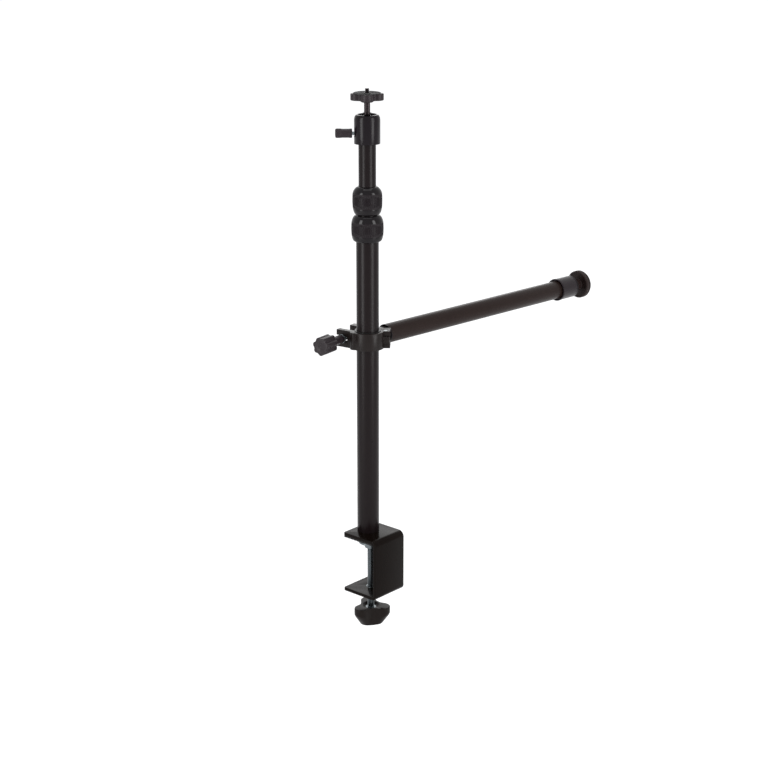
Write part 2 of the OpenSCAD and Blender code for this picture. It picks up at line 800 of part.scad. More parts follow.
// guide bush in the foot of a tube, running in the bore of the next tube
module guide_bush(own_bore, run_bore, foot_z) {
    difference() {
        union() {
            bar(run_bore / 2 - run_gap, foot_z - bush_rim_h, foot_z);
            bar(own_bore / 2 - seat_gap, foot_z, foot_z + bush_plug_h);
        }
        bar(own_bore / 2 - bush_wall, foot_z - bush_rim_h - over, foot_z + bush_plug_h + over);
    }
}

module middle_guide_bush() color(dark) guide_bush(middle_bore, main_bore, middle_foot);

module upper_lock_ferrule() color(dark) lock_ferrule(middle_d, top_d, middle_top);

module upper_lock_collet() color(dark)
    lock_collet(top_d, upper_collet_wall, middle_top - ferrule_below + ferrule_h);

module upper_lock_collar() color(black) difference() {
    top = upper_lock_top;
    rotate_extrude() polygon([
        [0, upper_lock_z],
        [upper_lock_foot_d / 2 - lock_foot_edge, upper_lock_z],
        each foot(upper_lock_d / 2, upper_lock_foot_d / 2, upper_lock_taper_h - lock_foot_edge,
            upper_lock_z + lock_foot_edge),
        each shoulder(upper_lock_d / 2, upper_lock_top_d / 2, upper_lock_cone_h, top),
        [0, top]
    ]);
    lock_hollow(middle_d, top_d, middle_top, upper_lock_z, top, upper_collet_wall);
    rib_grooves(upper_lock_d, upper_lock_z + upper_lock_taper_h + rib_back,
        top - upper_lock_cone_h - rib_back);
}

module top_tube() color(black)
    pipe(top_d / 2, top_bore / 2, top_foot, top_top);

module top_guide_bush() color(dark) guide_bush(top_bore, middle_bore, top_foot);

module top_plug() color(dark) {
    bar(top_bore / 2 - seat_gap, top_top - top_plug_len, top_top);
    bar(plug_stud_d / 2, top_top, seat_chamber_z - plug_stud_back);
}

module ball_housing() color(black) difference() {
    rotate_extrude() difference() {
        union() {
            translate([0, housing_z]) square([housing_d / 2, housing_h - shoulder_h]);
            translate([0, rim_z - shoulder_h]) square([housing_rim_d / 2, shoulder_h]);
            intersection() {
                translate([housing_rim_d / 2, rim_z - shoulder_h])
                    scale([(housing_d - housing_rim_d) / 2 / shoulder_h, 1]) circle(r = shoulder_h);
                translate([0, rim_z - shoulder_h]) square([housing_d, shoulder_h]);
            }
        }
        translate([0, ball_z]) circle(r = ball_r + run_gap);
        translate([0, seat_chamber_z])
            square([seat_d / 2 + run_gap, ball_z - seat_drop + seat_play - seat_chamber_z]);
        polygon([
            [0, ball_z + lip_up],
            [sqrt(pow(ball_r + run_gap, 2) - pow(lip_up, 2)), ball_z + lip_up],
            [mouth_d / 2, rim_z],
            [mouth_d / 2, rim_z + over],
            [0, rim_z + over]
        ]);
        translate([0, housing_z - over]) square([plug_stud_d / 2 + seat_gap, side_screw_up]);
    }
    on_side() {
        bar(side_screw_d / 2 + run_gap, 0, far);
        bar(side_screw_d / 2 + side_flat_w, housing_d / 2 - side_flat_t, far);
    }
}

module ball_seat() color(dark) difference() {
    bar(seat_d / 2, seat_under, ball_z - seat_drop);
    translate([0, 0, ball_z]) sphere(r = ball_r + run_gap);
}

module ball_stem() color(dark) {
    difference() {
        union() {
            translate([0, 0, ball_z]) sphere(r = ball_r);
            bar(stem_d / 2, ball_z, stem_top);
            bar(stem_foot_d / 2, rim_z, rim_z + stem_foot_h);
        }
        bar(stud_d / 2 + seat_gap, rim_z + stud_root, stem_top + over);
    }
}

module ball_lock_screw() color(zinc) on_side() {
    bar(side_screw_d / 2, side_tip_at + side_cone_len, side_knob_end - side_knob_cap_t);
    translate([0, 0, side_tip_at]) cylinder(r1 = side_tip_r, r2 = side_screw_d / 2, h = side_cone_len);
}

module ball_lock_knob() color(black) on_side() {
    start = side_knob_start;
    end = side_knob_end;
    grip_r = side_knob_d / 2;
    waist_r = side_knob_waist_d / 2;
    difference() {
        rotate_extrude() polygon([
            [0, start],
            [grip_r - side_knob_edge, start],
            [grip_r, start + side_knob_edge],
            [grip_r, start + side_collar_len],
            [waist_r, start + side_collar_len + side_slope_len],
            [waist_r, end - side_grip_len - side_slope_len / 2],
            [grip_r, end - side_grip_len],
            [grip_r, end - side_knob_edge],
            [grip_r - side_knob_edge, end],
            [0, end]
        ]);
        bar(side_screw_d / 2 + seat_gap, start - over, end - side_knob_cap_t);
        for (i = [0:side_flute_count - 1]) rotate([0, 0, 360 * i / side_flute_count])
            translate([grip_r - side_flute_t, -side_flute_w / 2, end - side_grip_len + side_knob_edge])
                cube([far, side_flute_w, side_grip_len]);
    }
}

// plan of the lock wheel: a cross of four round-ended lobes
module wheel_plan() {
    lobe_r = wheel_lobe_w / 2;
    circle(r = wheel_web_r);
    for (i = [0:3]) rotate(90 * i) {
        translate([wheel_tip_r - lobe_r, 0]) circle(r = lobe_r);
        translate([0, -lobe_r]) square([wheel_tip_r - lobe_r, wheel_lobe_w]);
    }
}

module lock_wheel() color(black) difference() {
    union() {
        translate([0, 0, wheel_z]) rotate([0, 0, wheel_turn]) linear_extrude(wheel_t) wheel_plan();
        bar(wheel_hub_d / 2, stem_top + face_gap, wheel_z);
    }
    bar(stud_d / 2 + run_gap, stem_top, wheel_top + over);
}

module friction_disc() color(rubber)
    pipe(friction_d / 2, stud_d / 2 + run_gap, wheel_top, wheel_top + friction_t);

// threaded stud from its root to its free end, with a relief groove where it leaves its seat
module free_stud(root, seat) {
    bar(stud_d / 2, root, seat - stud_relief_w);
    bar(stud_d / 2 - stud_relief_t, seat - stud_relief_w, seat + stud_relief_w);
    bar(stud_d / 2, seat + stud_relief_w, seat + stud_proud);
}

module camera_stud() color(dark)
    free_stud(rim_z + stud_root, wheel_top + friction_t);

// split liner with a rim above and below the collar
module column_liner() color(dark) difference() {
    rim_r = collar_r + liner_rim;
    union() {
        bar(liner_r + liner_wall, collar_foot, collar_top);
        bar(rim_r, collar_foot - liner_proud, collar_foot);
        bar(rim_r, collar_top, collar_top + liner_proud);
    }
    bar(liner_r, collar_foot - 2 * liner_proud, collar_top + 2 * liner_proud);
    on_collar() translate([-liner_slit / 2, 0, collar_foot - 2 * liner_proud])
        cube([liner_slit, far, collar_h + 4 * liner_proud]);
}

// point in the collar's plan, t along the face of the hinge block and n out from the column
function block_point(t, n) = [
    t * cos(block_turn) + n * sin(block_turn),
    t * sin(block_turn) - n * cos(block_turn)
];

// plan of the ring of the collar within an outline
module ring_plan(outline) {
    intersection() {
        difference() {
            circle(r = collar_out_r);
            circle(r = collar_r);
        }
        polygon(outline);
    }
}

// plan of the rear half: its ring, the ear and the hinge block
module rear_plan() {
    ear_in = ear_gap / 2;
    ring_plan([[ear_in, -far], [far, -far], [far, far], [ear_in, far]]);
    difference() {
        union() {
            translate([ear_in, 0]) square([rear_ear_t, screw_out + rear_ear_past]);
            rotate(block_turn) translate([-block_left, -block_out])
                square([block_left + block_right, block_out]);
        }
        circle(r = collar_r);
    }
}

// plan of the room that the knuckle needs in the hinge block
module knuckle_room() {
    room_r = knuckle_r + face_gap;
    rotate(block_turn) translate([hinge_t - far, -far]) square([far, 2 * far]);
    rotate(block_turn) translate([hinge_t - over, room_r - hinge_n - far]) square([room_r + over, far]);
}

// plan of the ring and the ear of the gate
module gate_plan() {
    ear_in = -ear_gap / 2;
    ear_end = screw_out + gate_ear_past;
    ring_plan([[ear_in, far], [-far, far], [-far, -far], block_point(gate_end_t, far),
        block_point(gate_end_t, 0), [ear_in, 0]]);
    difference() {
        union() {
            translate([gate_face, 0]) square([gate_ear_t, ear_end]);
            translate([shoulder_x, shoulder_y]) circle(r = shoulder_r);
        }
        circle(r = collar_r);
    }
}

// plan of the knuckle of the gate and its web
module knuckle_plan() {
    difference() {
        union() {
            translate([hinge_x, hinge_y]) circle(r = knuckle_r);
            rotate(block_turn) translate([gate_end_t - knuckle_web_in, -hinge_n - knuckle_r])
                square([hinge_t - gate_end_t + knuckle_web_in, 2 * knuckle_r - face_gap]);
        }
        circle(r = collar_r);
    }
}

module collar_rear() color(dark) difference() {
    union() {
        on_collar() translate([0, 0, collar_foot]) linear_extrude(collar_h) rear_plan();
        on_arm() bar(arm_neck_d / 2, collar_out_r - arm_neck_in, arm_start);
    }
    bar(collar_r, collar_foot - over, collar_top + over);
    on_collar() {
        room_h = knuckle_h + 2 * face_gap;
        translate([0, 0, collar_z - room_h / 2]) linear_extrude(room_h) intersection() {
            knuckle_room();
            rotate(block_turn) translate([-far, -far]) square([far + hinge_t + knuckle_r + over, far]);
        }
        translate([hinge_x, hinge_y, 0])
            bar(hinge_pin_d / 2 + seat_gap, collar_foot - over, collar_top + over);
    }
    on_screw() bar(collar_screw_d / 2 + face_gap, 0, rear_face + over);
    on_arm() {
        bar(arm_head_d / 2 + seat_gap, 0, arm_head_s);
        arm_head(seat_gap);
        bar(arm_screw_d / 2 + seat_gap, 0, arm_start + over);
    }
}

// countersunk head of the arm screw, grown by a clearance
module arm_head(grow) {
    head_r = arm_head_d / 2;
    shank_r = arm_screw_d / 2;
    translate([0, 0, arm_head_s])
        cylinder(r1 = head_r + grow, r2 = shank_r + grow, h = head_r - shank_r);
}

module collar_gate() color(dark) difference() {
    on_collar() {
        translate([0, 0, collar_foot]) linear_extrude(collar_h) gate_plan();
        translate([0, 0, collar_z - knuckle_h / 2]) linear_extrude(knuckle_h) knuckle_plan();
    }
    on_collar() translate([hinge_x, hinge_y, 0])
        bar(hinge_pin_d / 2 + run_gap, collar_foot - over, collar_top + over);
    on_screw() translate([0, 0, gate_face - over]) linear_extrude(gate_ear_t + 2 * over) {
        circle(r = slot_w / 2);
        translate([-slot_w / 2, -slot_in]) square([slot_w, far]);
        translate([0, -slot_in]) circle(r = slot_w / 2);
    }
}

module hinge_pin() color(zinc) on_collar() translate([hinge_x, hinge_y, 0])
    bar(hinge_pin_d / 2, collar_foot, collar_top);

module collar_screw() color(zinc) on_screw()
    bar(collar_screw_d / 2, star_boss_end - star_grip_len, nut_end + screw_proud);

module collar_washer() color(zinc) on_screw()
    pipe(washer_d / 2, collar_screw_d / 2 + run_gap, gate_face - washer_t, gate_face);

module collar_nut() color(zinc) on_screw() difference() {
    translate([0, 0, rear_face]) cylinder(d = nut_corner_d, h = collar_nut_h, $fn = 6);
    bar(collar_screw_d / 2 + run_gap, rear_face - over, nut_end + over);
}

// star-shaped knob: a boss, and a grip with round lobes
module star_knob() color(black) on_screw() {
    lobe_at = star_d / 2 - star_lobe_r;
    difference() {
        union() {
            bar(star_boss_d / 2, star_boss_end, gate_face - washer_t);
            intersection() {
                translate([0, 0, star_boss_end - star_len]) linear_extrude(star_len) {
                    circle(r = lobe_at + star_web);
                    for (i = [0:star_lobes - 1]) rotate(360 * i / star_lobes)
                        translate([lobe_at, 0]) circle(r = star_lobe_r);
                }
                rotate_extrude() polygon([
                    [0, star_boss_end - star_len],
                    [star_d / 2 - star_edge, star_boss_end - star_len],
                    [star_d / 2, star_boss_end - star_len + star_edge],
                    [star_d / 2, star_boss_end - star_edge],
                    [star_d / 2 - star_edge, star_boss_end],
                    [0, star_boss_end]
                ]);
            }
        }
        bar(collar_screw_d / 2 + seat_gap, star_boss_end - star_grip_len, gate_face);
    }
}

module arm_screw() color(zinc) on_arm() {
    arm_head(0);
    bar(arm_screw_d / 2, arm_head_s, arm_start + arm_screw_grip);
}

module arm_plug() color(dark) on_arm() difference() {
    union() {
        bar(arm_d / 2, arm_start, tube_start);
        bar(arm_bore / 2 - seat_gap, tube_start, tube_start + arm_plug_len);
    }
    bar(arm_screw_d / 2 + seat_gap, arm_start - over, arm_start + arm_screw_grip);
}

module arm_tube() color(black) on_arm()
    pipe(arm_d / 2, arm_bore / 2, tube_start, arm_end);

module arm_sleeve() color(violet) on_arm() {
    start = arm_end - sleeve_len;
    difference() {
        union() {
            bar(sleeve_d / 2, start, arm_end);
            bar(sleeve_lip_d / 2, start, start + sleeve_lip_len);
        }
        bar(arm_d / 2 + seat_gap, start - over, arm_end + over);
        bar(sleeve_mouth_d / 2, start - over, start + sleeve_mouth_depth);
    }
}

module arm_end_plug() color(dark) on_arm() difference() {
    union() {
        bar(arm_bore / 2 - seat_gap, arm_end - arm_plug_len, arm_end);
        bar(sleeve_d / 2, arm_end, flange_end);
        bar(end_neck_d / 2, flange_end, neck_end);
    }
    bar(stud_d / 2 + seat_gap, neck_end - stud_grip, neck_end + over);
}

module arm_end_disc() color(black) on_arm() {
    bore_r = stud_d / 2 + run_gap;
    hub_r = end_neck_d / 2 + disc_hub_more;
    rim_r = disc_d / 2;
    rotate_extrude() polygon([
        [bore_r, disc_hub_start],
        [hub_r, disc_hub_start],
        [hub_r, disc_back + disc_dish],
        [rim_r - disc_rim_w, disc_back + disc_dish],
        [rim_r - disc_rim_w, disc_back],
        [rim_r - disc_bevel, disc_back],
        [rim_r, disc_back + disc_bevel],
        [rim_r, disc_front - disc_bevel / 2],
        [rim_r - disc_bevel / 2, disc_front],
        [bore_r, disc_front]
    ]);
}

module arm_end_pad() color(rubber) on_arm()
    pipe(end_pad_d / 2, stud_d / 2 + run_gap, disc_front, disc_front + end_pad_t);

module arm_end_stud() color(zinc) on_arm()
    free_stud(neck_end - stud_grip, disc_front + end_pad_t);

clamp_bracket();
desk_pad();
clamp_nut();
clamp_spindle();
pressure_plate();
pressure_pad();
clamp_knob();
knob_insert();
knob_cap();
column_screw();
column_base_plug();
main_tube();
lower_lock_ferrule();
lower_lock_collet();
lower_lock_collar();
middle_tube();
middle_guide_bush();
upper_lock_ferrule();
upper_lock_collet();
upper_lock_collar();
top_tube();
top_guide_bush();
top_plug();
ball_housing();
ball_seat();
ball_stem();
ball_lock_screw();
ball_lock_knob();
lock_wheel();
friction_disc();
camera_stud();
column_liner();
collar_rear();
collar_gate();
hinge_pin();
collar_screw();
collar_washer();
star_knob();
collar_nut();
arm_screw();
arm_plug();
arm_tube();
arm_sleeve();
arm_end_plug();
arm_end_disc();
arm_end_pad();
arm_end_stud();
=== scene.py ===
"""Desk clamp mount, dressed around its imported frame.

A bent C bracket holds a telescopic column with two twist locks. The column ends in a small ball
head with a lock wheel and a stud, and a clamp collar on it carries a horizontal arm with a disc.
Sizes are written in millimetres and turned to metres when a piece is finished.
"""

import json
import logging
import math
from dataclasses import dataclass
from enum import Enum
from typing import Any, Callable, Sequence

import bmesh
import bpy
from mathutils import Euler, Matrix, Vector

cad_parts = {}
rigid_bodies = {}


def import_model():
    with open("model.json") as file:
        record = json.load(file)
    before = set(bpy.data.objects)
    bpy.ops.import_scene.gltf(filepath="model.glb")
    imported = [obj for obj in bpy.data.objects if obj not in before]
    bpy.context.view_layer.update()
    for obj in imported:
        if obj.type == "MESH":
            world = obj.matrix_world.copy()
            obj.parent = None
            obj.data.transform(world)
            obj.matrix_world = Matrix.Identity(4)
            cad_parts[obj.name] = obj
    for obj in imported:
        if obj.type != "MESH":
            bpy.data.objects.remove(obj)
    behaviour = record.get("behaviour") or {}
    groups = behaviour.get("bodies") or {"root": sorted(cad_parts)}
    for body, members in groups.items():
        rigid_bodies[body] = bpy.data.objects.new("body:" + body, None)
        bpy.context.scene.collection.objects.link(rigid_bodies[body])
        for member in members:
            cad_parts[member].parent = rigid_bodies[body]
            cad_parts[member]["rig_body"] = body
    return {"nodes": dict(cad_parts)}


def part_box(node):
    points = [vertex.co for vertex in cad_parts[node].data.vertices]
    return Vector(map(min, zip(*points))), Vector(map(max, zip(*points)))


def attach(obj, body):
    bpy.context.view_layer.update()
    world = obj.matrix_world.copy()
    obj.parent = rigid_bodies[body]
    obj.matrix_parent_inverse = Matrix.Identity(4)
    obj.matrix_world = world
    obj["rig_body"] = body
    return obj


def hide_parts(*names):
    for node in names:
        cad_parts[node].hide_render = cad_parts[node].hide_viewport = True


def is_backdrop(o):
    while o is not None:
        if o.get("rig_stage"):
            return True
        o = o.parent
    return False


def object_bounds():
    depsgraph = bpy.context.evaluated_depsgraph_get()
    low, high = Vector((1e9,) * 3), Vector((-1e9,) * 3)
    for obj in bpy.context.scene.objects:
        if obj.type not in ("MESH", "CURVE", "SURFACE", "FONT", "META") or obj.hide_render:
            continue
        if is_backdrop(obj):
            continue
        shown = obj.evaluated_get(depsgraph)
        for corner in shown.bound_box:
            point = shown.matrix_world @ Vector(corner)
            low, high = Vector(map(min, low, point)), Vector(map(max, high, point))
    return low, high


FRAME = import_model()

LOG = logging.getLogger("desk_clamp_mount")
MM = 0.001
FULL_TURN = 2 * math.pi
# Sockets of a mix node that mixes colours
MIX_FIRST, MIX_SECOND, MIX_RESULT = 6, 7, 2
# Distances in millimetres at which points of an outline, or of a thread or copy, count as one
SAME = 1e-4
SAME_IN_COPY = 1e-3
# Angles in degrees at which faces are joined up, edges are rounded and shading breaks
FLAT_ANGLE = 0.6
EDGE_ANGLE = 32.0
SHARP_ANGLE = 36.0
# Depth of a thread and the corners of its flanks, as shares of its pitch
THREAD_DEPTH = 0.54
THREAD_FLANKS = (0.12, 0.44, 0.56, 0.88)
THREAD_STEPS = 28
# The chamfer at a thread's end starts this far under its root
THREAD_END = 0.1
# Points this near to a fluted band belong to it
BAND_MARGIN = 0.1
# Play round a stud's thread, and round a part that slides or screws in
STUD_PLAY = 0.05
SLIDE_PLAY = 0.03
TUBE_STEPS = 128
KNOB_STEPS = 144
# One corner of an outline: radius, height and fillet
Corner = tuple[float, float, float]


def linear(colour: str) -> tuple[float, float, float, float]:
    """Turns an sRGB hex colour into linear colour.

    Args:
        colour: six hex digits after a hash.

    Returns:
        Red, green, blue and alpha.
    """
    parts = [int(colour[i : i + 2], 16) / 255 for i in (1, 3, 5)]
    red, green, blue = [p / 12.92 if p <= 0.04045 else ((p + 0.055) / 1.055) ** 2.4 for p in parts]
    return (red, green, blue, 1.0)


def add_node(
    tree: bpy.types.NodeTree,
    kind: str,
    values: dict[int | str, Any] | None = None,
    links: dict[int | str, bpy.types.NodeSocket] | None = None,
    **options: Any,
) -> bpy.types.Node:
    """Adds one node with its options, values and links.

    Args:
        tree: the node tree that gets the node.
        kind: Blender's name of the node type.
        values: constants by input name or number.
        links: output sockets to link, by input name or number.
        **options: attributes of the node itself.

    Returns:
        The new node.
    """
    node = tree.nodes.new(kind)
    for name, value in options.items():
        setattr(node, name, value)
    for key, value in (values or {}).items():
        node.inputs[key].default_value = value
    for key, socket in (links or {}).items():
        tree.links.new(socket, node.inputs[key])
    return node


def empty_tree(owner: bpy.types.Material | bpy.types.World) -> bpy.types.NodeTree:
    """Gives a material or a world an empty node tree.

    Args:
        owner: the material or world.

    Returns:
        Its node tree.
    """
    owner.use_nodes = True
    owner.node_tree.nodes.clear()
    return owner.node_tree


def new_object(name: str, data: bpy.types.ID) -> bpy.types.Object:
    """Puts a new object into the scene.

    Args:
        name: name of the object.
        data: its mesh, lamp or camera.

    Returns:
        The object.
    """
    made = bpy.data.objects.new(name, data)
    bpy.context.scene.collection.objects.link(made)
    return made


def extent(node: str) -> tuple[Vector, Vector]:
    """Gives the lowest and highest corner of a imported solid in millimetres."""
    low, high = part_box(node)
    return low / MM, high / MM


class Line(Enum):
    """The lines that pieces are turned on, each with its place, heading and tilt."""

    COLUMN = (0.0, 0.0, 0.0, 0.0, 0.0)
    SPINDLE = (0.0, -4.9, 0.0, 0.0, 0.0)
    SIDE_SCREW = (0.0, 0.0, 595.3, 132.0, 90.0)
    COLLAR_SCREW = (-4.536, 31.475, 300.5, 8.2, 90.0)
    HINGE = (16.996, -18.876, 0.0, 0.0, 0.0)
    ARM = (0.0, 0.0, 301.5, -4.5, 90.0)

    @property
    def turn(self) -> Euler:
        """Turn that points Z along the line."""
        return Euler((0.0, math.radians(self.value[4]), math.radians(self.value[3])), "XYZ")

    @property
    def start(self) -> Vector:
        """Point that the line starts at, in millimetres."""
        return Vector(self.value[:3])

    def place(self) -> Matrix:
        """Matrix from a piece's own millimetres, along Z, to the frame's metres."""
        return Matrix.Scale(MM, 4) @ Matrix.Translation(self.start) @ self.turn.to_matrix().to_4x4()


class Pattern(Enum):
    """How a surface was made, with the scale, detail and roughness of the noise in its relief."""

    POWDER_COAT = (1.0, 1.0, 0.4)
    SPARK_GRAIN = (0.5, 4.0, 0.7)
    DRAWN = (1.0, 3.0, 0.6)
    TURNED = (1.0, 2.0, 0.6)
    CAST = (1.0, 6.0, 0.65)
    SOFT = (1.0, 2.0, 0.5)


@dataclass(frozen=True)
class Finish:
    """A finish: what the material is, its tones and its relief."""

    name: str
    colour: str
    second: str
    pattern: Pattern
    grain_mm: float
    relief_mm: float
    roughness: float
    spread: float
    metallic: float = 0.0
    specular: float = 0.5
    patch_mm: float = 18.0

    def material(self, line: Line) -> bpy.types.Material:
        """Makes the material, or finds it if this line has it already.

        Args:
            line: the line that drawn and turned marks follow.

        Returns:
            The material.
        """
        name = f"{self.name}_{line.name.lower()}"
        if name in bpy.data.materials:
            return bpy.data.materials[name]
        material = bpy.data.materials.new(name)
        tree = empty_tree(material)
        place = add_node(tree, "ShaderNodeTexCoord").outputs["Object"]
        along = {"Location": line.start * MM, "Rotation": line.turn}
        own = add_node(
            tree, "ShaderNodeMapping", along, {"Vector": place}, vector_type="TEXTURE"
        ).outputs["Vector"]
        grain = self.grain(tree, own)
        patch = add_node(
            tree,
            "ShaderNodeTexNoise",
            {"Scale": 1 / (self.patch_mm * MM), "Detail": 3.0, "Roughness": 0.55},
            {"Vector": own},
        ).outputs["Fac"]
        blend = add_node(
            tree, "ShaderNodeMath", None, {0: grain, 1: patch}, operation="MULTIPLY"
        ).outputs["Value"]
        tone = add_node(
            tree,
            "ShaderNodeMix",
            {MIX_FIRST: linear(self.colour), MIX_SECOND: linear(self.second)},
            {"Factor": blend},
            data_type="RGBA",
        ).outputs[MIX_RESULT]
        rough = add_node(
            tree,
            "ShaderNodeMapRange",
            {
                "From Min": 0.3,
                "From Max": 0.7,
                "To Min": self.roughness - self.spread,
                "To Max": self.roughness + self.spread,
            },
            {"Value": patch},
        ).outputs["Result"]
        depth = {"Strength": 1.0, "Distance": self.relief_mm * MM}
        relief = add_node(tree, "ShaderNodeBump", depth, {"Height": grain}).outputs["Normal"]
        shader = add_node(
            tree,
            "ShaderNodeBsdfPrincipled",
            {"Metallic": self.metallic, "Specular IOR Level": self.specular},
            {"Base Color": tone, "Roughness": rough, "Normal": relief},
        )
        add_node(tree, "ShaderNodeOutputMaterial", None, {"Surface": shader.outputs["BSDF"]})
        return material

    def grain(self, tree: bpy.types.NodeTree, own: bpy.types.NodeSocket) -> bpy.types.NodeSocket:
        """Adds the nodes of the relief.

        Args:
            tree: the material's node tree.
            own: coordinates in metres along the piece's own line.

        Returns:
            A height between 0 and 1.
        """
        fine = 1 / (self.grain_mm * MM)
        scale, detail, rough = self.pattern.value
        links = {"Vector": own}
        options: dict[str, str] = {}
        if self.pattern is Pattern.TURNED:
            flat = add_node(
                tree, "ShaderNodeVectorMath", {1: (1.0, 1.0, 0.0)}, {0: own}, operation="MULTIPLY"
            ).outputs["Vector"]
            radius = add_node(
                tree, "ShaderNodeVectorMath", None, {0: flat}, operation="LENGTH"
            ).outputs["Value"]
            height = add_node(tree, "ShaderNodeSeparateXYZ", None, {0: own}).outputs["Z"]
            feed = add_node(
                tree, "ShaderNodeMath", None, {0: radius, 1: height}, operation="ADD"
            ).outputs["Value"]
            links = {"W": feed}
            options = {"noise_dimensions": "1D"}
        if self.pattern is Pattern.DRAWN:
            stretch = {"Scale": (1.0, 1.0, 0.02)}
            pulled = add_node(tree, "ShaderNodeMapping", stretch, links, vector_type="POINT")
            links = {"Vector": pulled.outputs["Vector"]}
        noise = {"Scale": fine * scale, "Detail": detail, "Roughness": rough}
        haze = add_node(tree, "ShaderNodeTexNoise", noise, links, **options).outputs["Fac"]
        if self.pattern is not Pattern.SPARK_GRAIN:
            return haze
        pits = add_node(
            tree,
            "ShaderNodeTexVoronoi",
            {"Scale": fine, "Randomness": 1.0},
            links,
            feature="SMOOTH_F1",
        ).outputs["Distance"]
        return add_node(
            tree, "ShaderNodeMath", None, {0: pits, 1: haze}, operation="MULTIPLY"
        ).outputs["Value"]


# Powder coat on bent steel: glossy, with a faint orange peel that wobbles its reflections
GLOSS_COAT = Finish(
    "gloss_powder_coat_steel", "#0D0806", "#120C09", Pattern.POWDER_COAT,
    grain_mm=2.4, relief_mm=0.006, roughness=0.2, spread=0.03, specular=0.05,
)
# Anodised aluminium tube, drawn and then dyed black: satin, with faint lines along it
TUBE = Finish(
    "black_anodised_tube", "#120C0D", "#171112", Pattern.DRAWN,
    grain_mm=0.5, relief_mm=0.0008, roughness=0.3, spread=0.03, specular=0.115,
)
# The arm's tube has the same finish with a brown cast
ARM_TUBE = Finish(
    "brown_black_anodised_tube", "#1F1614", "#261C19", Pattern.DRAWN,
    grain_mm=0.5, relief_mm=0.0008, roughness=0.34, spread=0.03, specular=0.11,
)
# Moulded ABS from a spark eroded tool: matt, with fine pits that spread the light
ABS = Finish(
    "black_moulded_abs", "#211B1E", "#282225", Pattern.SPARK_GRAIN,
    grain_mm=0.5, relief_mm=0.02, roughness=0.44, spread=0.05, specular=0.18,
)
# Glass-filled nylon of the lock collars: matt where it is ribbed
NYLON = Finish(
    "black_ribbed_nylon", "#171215", "#1D181B", Pattern.SPARK_GRAIN,
    grain_mm=0.6, relief_mm=0.02, roughness=0.46, spread=0.06, specular=0.12,
)
# The same nylon where the mould was polished: shoulders and feet of the locks
GLOSS_NYLON = Finish(
    "polished_glass_filled_nylon", "#0F0B0E", "#141013", Pattern.SPARK_GRAIN,
    grain_mm=0.8, relief_mm=0.002, roughness=0.11, spread=0.03, specular=0.17,
)
# Acetal sleeves and bushes: smooth and waxy
ACETAL = Finish(
    "black_turned_acetal", "#161516", "#1C1B1C", Pattern.TURNED,
    grain_mm=0.4, relief_mm=0.004, roughness=0.4, spread=0.04, specular=0.2,
)
# Turned aluminium, dyed black: satin with fine rings from the lathe
BLACK_TURNED = Finish(
    "black_anodised_turned", "#100B0F", "#171116", Pattern.TURNED,
    grain_mm=0.35, relief_mm=0.0008, roughness=0.22, spread=0.03, specular=0.13,
)
# Die-cast zinc alloy under black paint: faint unevenness under a satin skin
CAST = Finish(
    "black_painted_die_cast", "#161110", "#1D1716", Pattern.CAST,
    grain_mm=1.6, relief_mm=0.012, roughness=0.34, spread=0.05, specular=0.14,
)
# Anodised sleeve: satin, with a violet-grey cast
SLEEVE = Finish(
    "violet_grey_anodised", "#1C1519", "#231C20", Pattern.TURNED,
    grain_mm=0.3, relief_mm=0.0008, roughness=0.3, spread=0.03, specular=0.16,
)
# Bright zinc plate on steel: pale, faintly blue, a little cloudy
ZINC = Finish(
    "bright_zinc_plate", "#B9BFC2", "#A6ACAF", Pattern.TURNED,
    grain_mm=0.3, relief_mm=0.003, roughness=0.28, spread=0.05, metallic=1.0,
)
# Oiled rolled steel of the spindle and the collar screw: grey with a cold cast
STEEL = Finish(
    "oiled_rolled_steel", "#6C7275", "#595F62", Pattern.TURNED,
    grain_mm=0.3, relief_mm=0.003, roughness=0.3, spread=0.05, metallic=1.0,
)
# Dark burnished steel of the ball and its stem
BURNISHED = Finish(
    "burnished_steel", "#231F20", "#2B2728", Pattern.TURNED,
    grain_mm=0.3, relief_mm=0.001, roughness=0.26, spread=0.04, metallic=1.0,
)
# Turned aluminium of the end disc, anodised brown-black
BROWN_TURNED = Finish(
    "brown_black_turned_aluminium", "#1F1615", "#2A201E", Pattern.TURNED,
    grain_mm=0.5, relief_mm=0.001, roughness=0.36, spread=0.06, specular=0.16,
)
# Moulded polypropylene of the clamp knob, coloured darker and less shiny than the other knobs as painted
# shade for the shadow under the bracket's jaws
SHADE_DARKENED_BLACK = Finish(
    "shade_darkened_polypropylene", "#120C0A", "#181210", Pattern.SPARK_GRAIN,
    grain_mm=0.6, relief_mm=0.02, roughness=0.36, spread=0.05, specular=0.11,
)
# Grey anodised aluminium of the plugs inside the tubes
PLUG = Finish(
    "grey_anodised_aluminium", "#5A5A5E", "#636366", Pattern.TURNED,
    grain_mm=0.35, relief_mm=0.004, roughness=0.34, spread=0.04, metallic=0.9,
)
# Vulcanised rubber: matt and faintly dusty
RUBBER = Finish(
    "black_rubber", "#141414", "#1F1E1E", Pattern.SOFT,
    grain_mm=0.7, relief_mm=0.03, roughness=0.7, spread=0.08, specular=0.25,
)


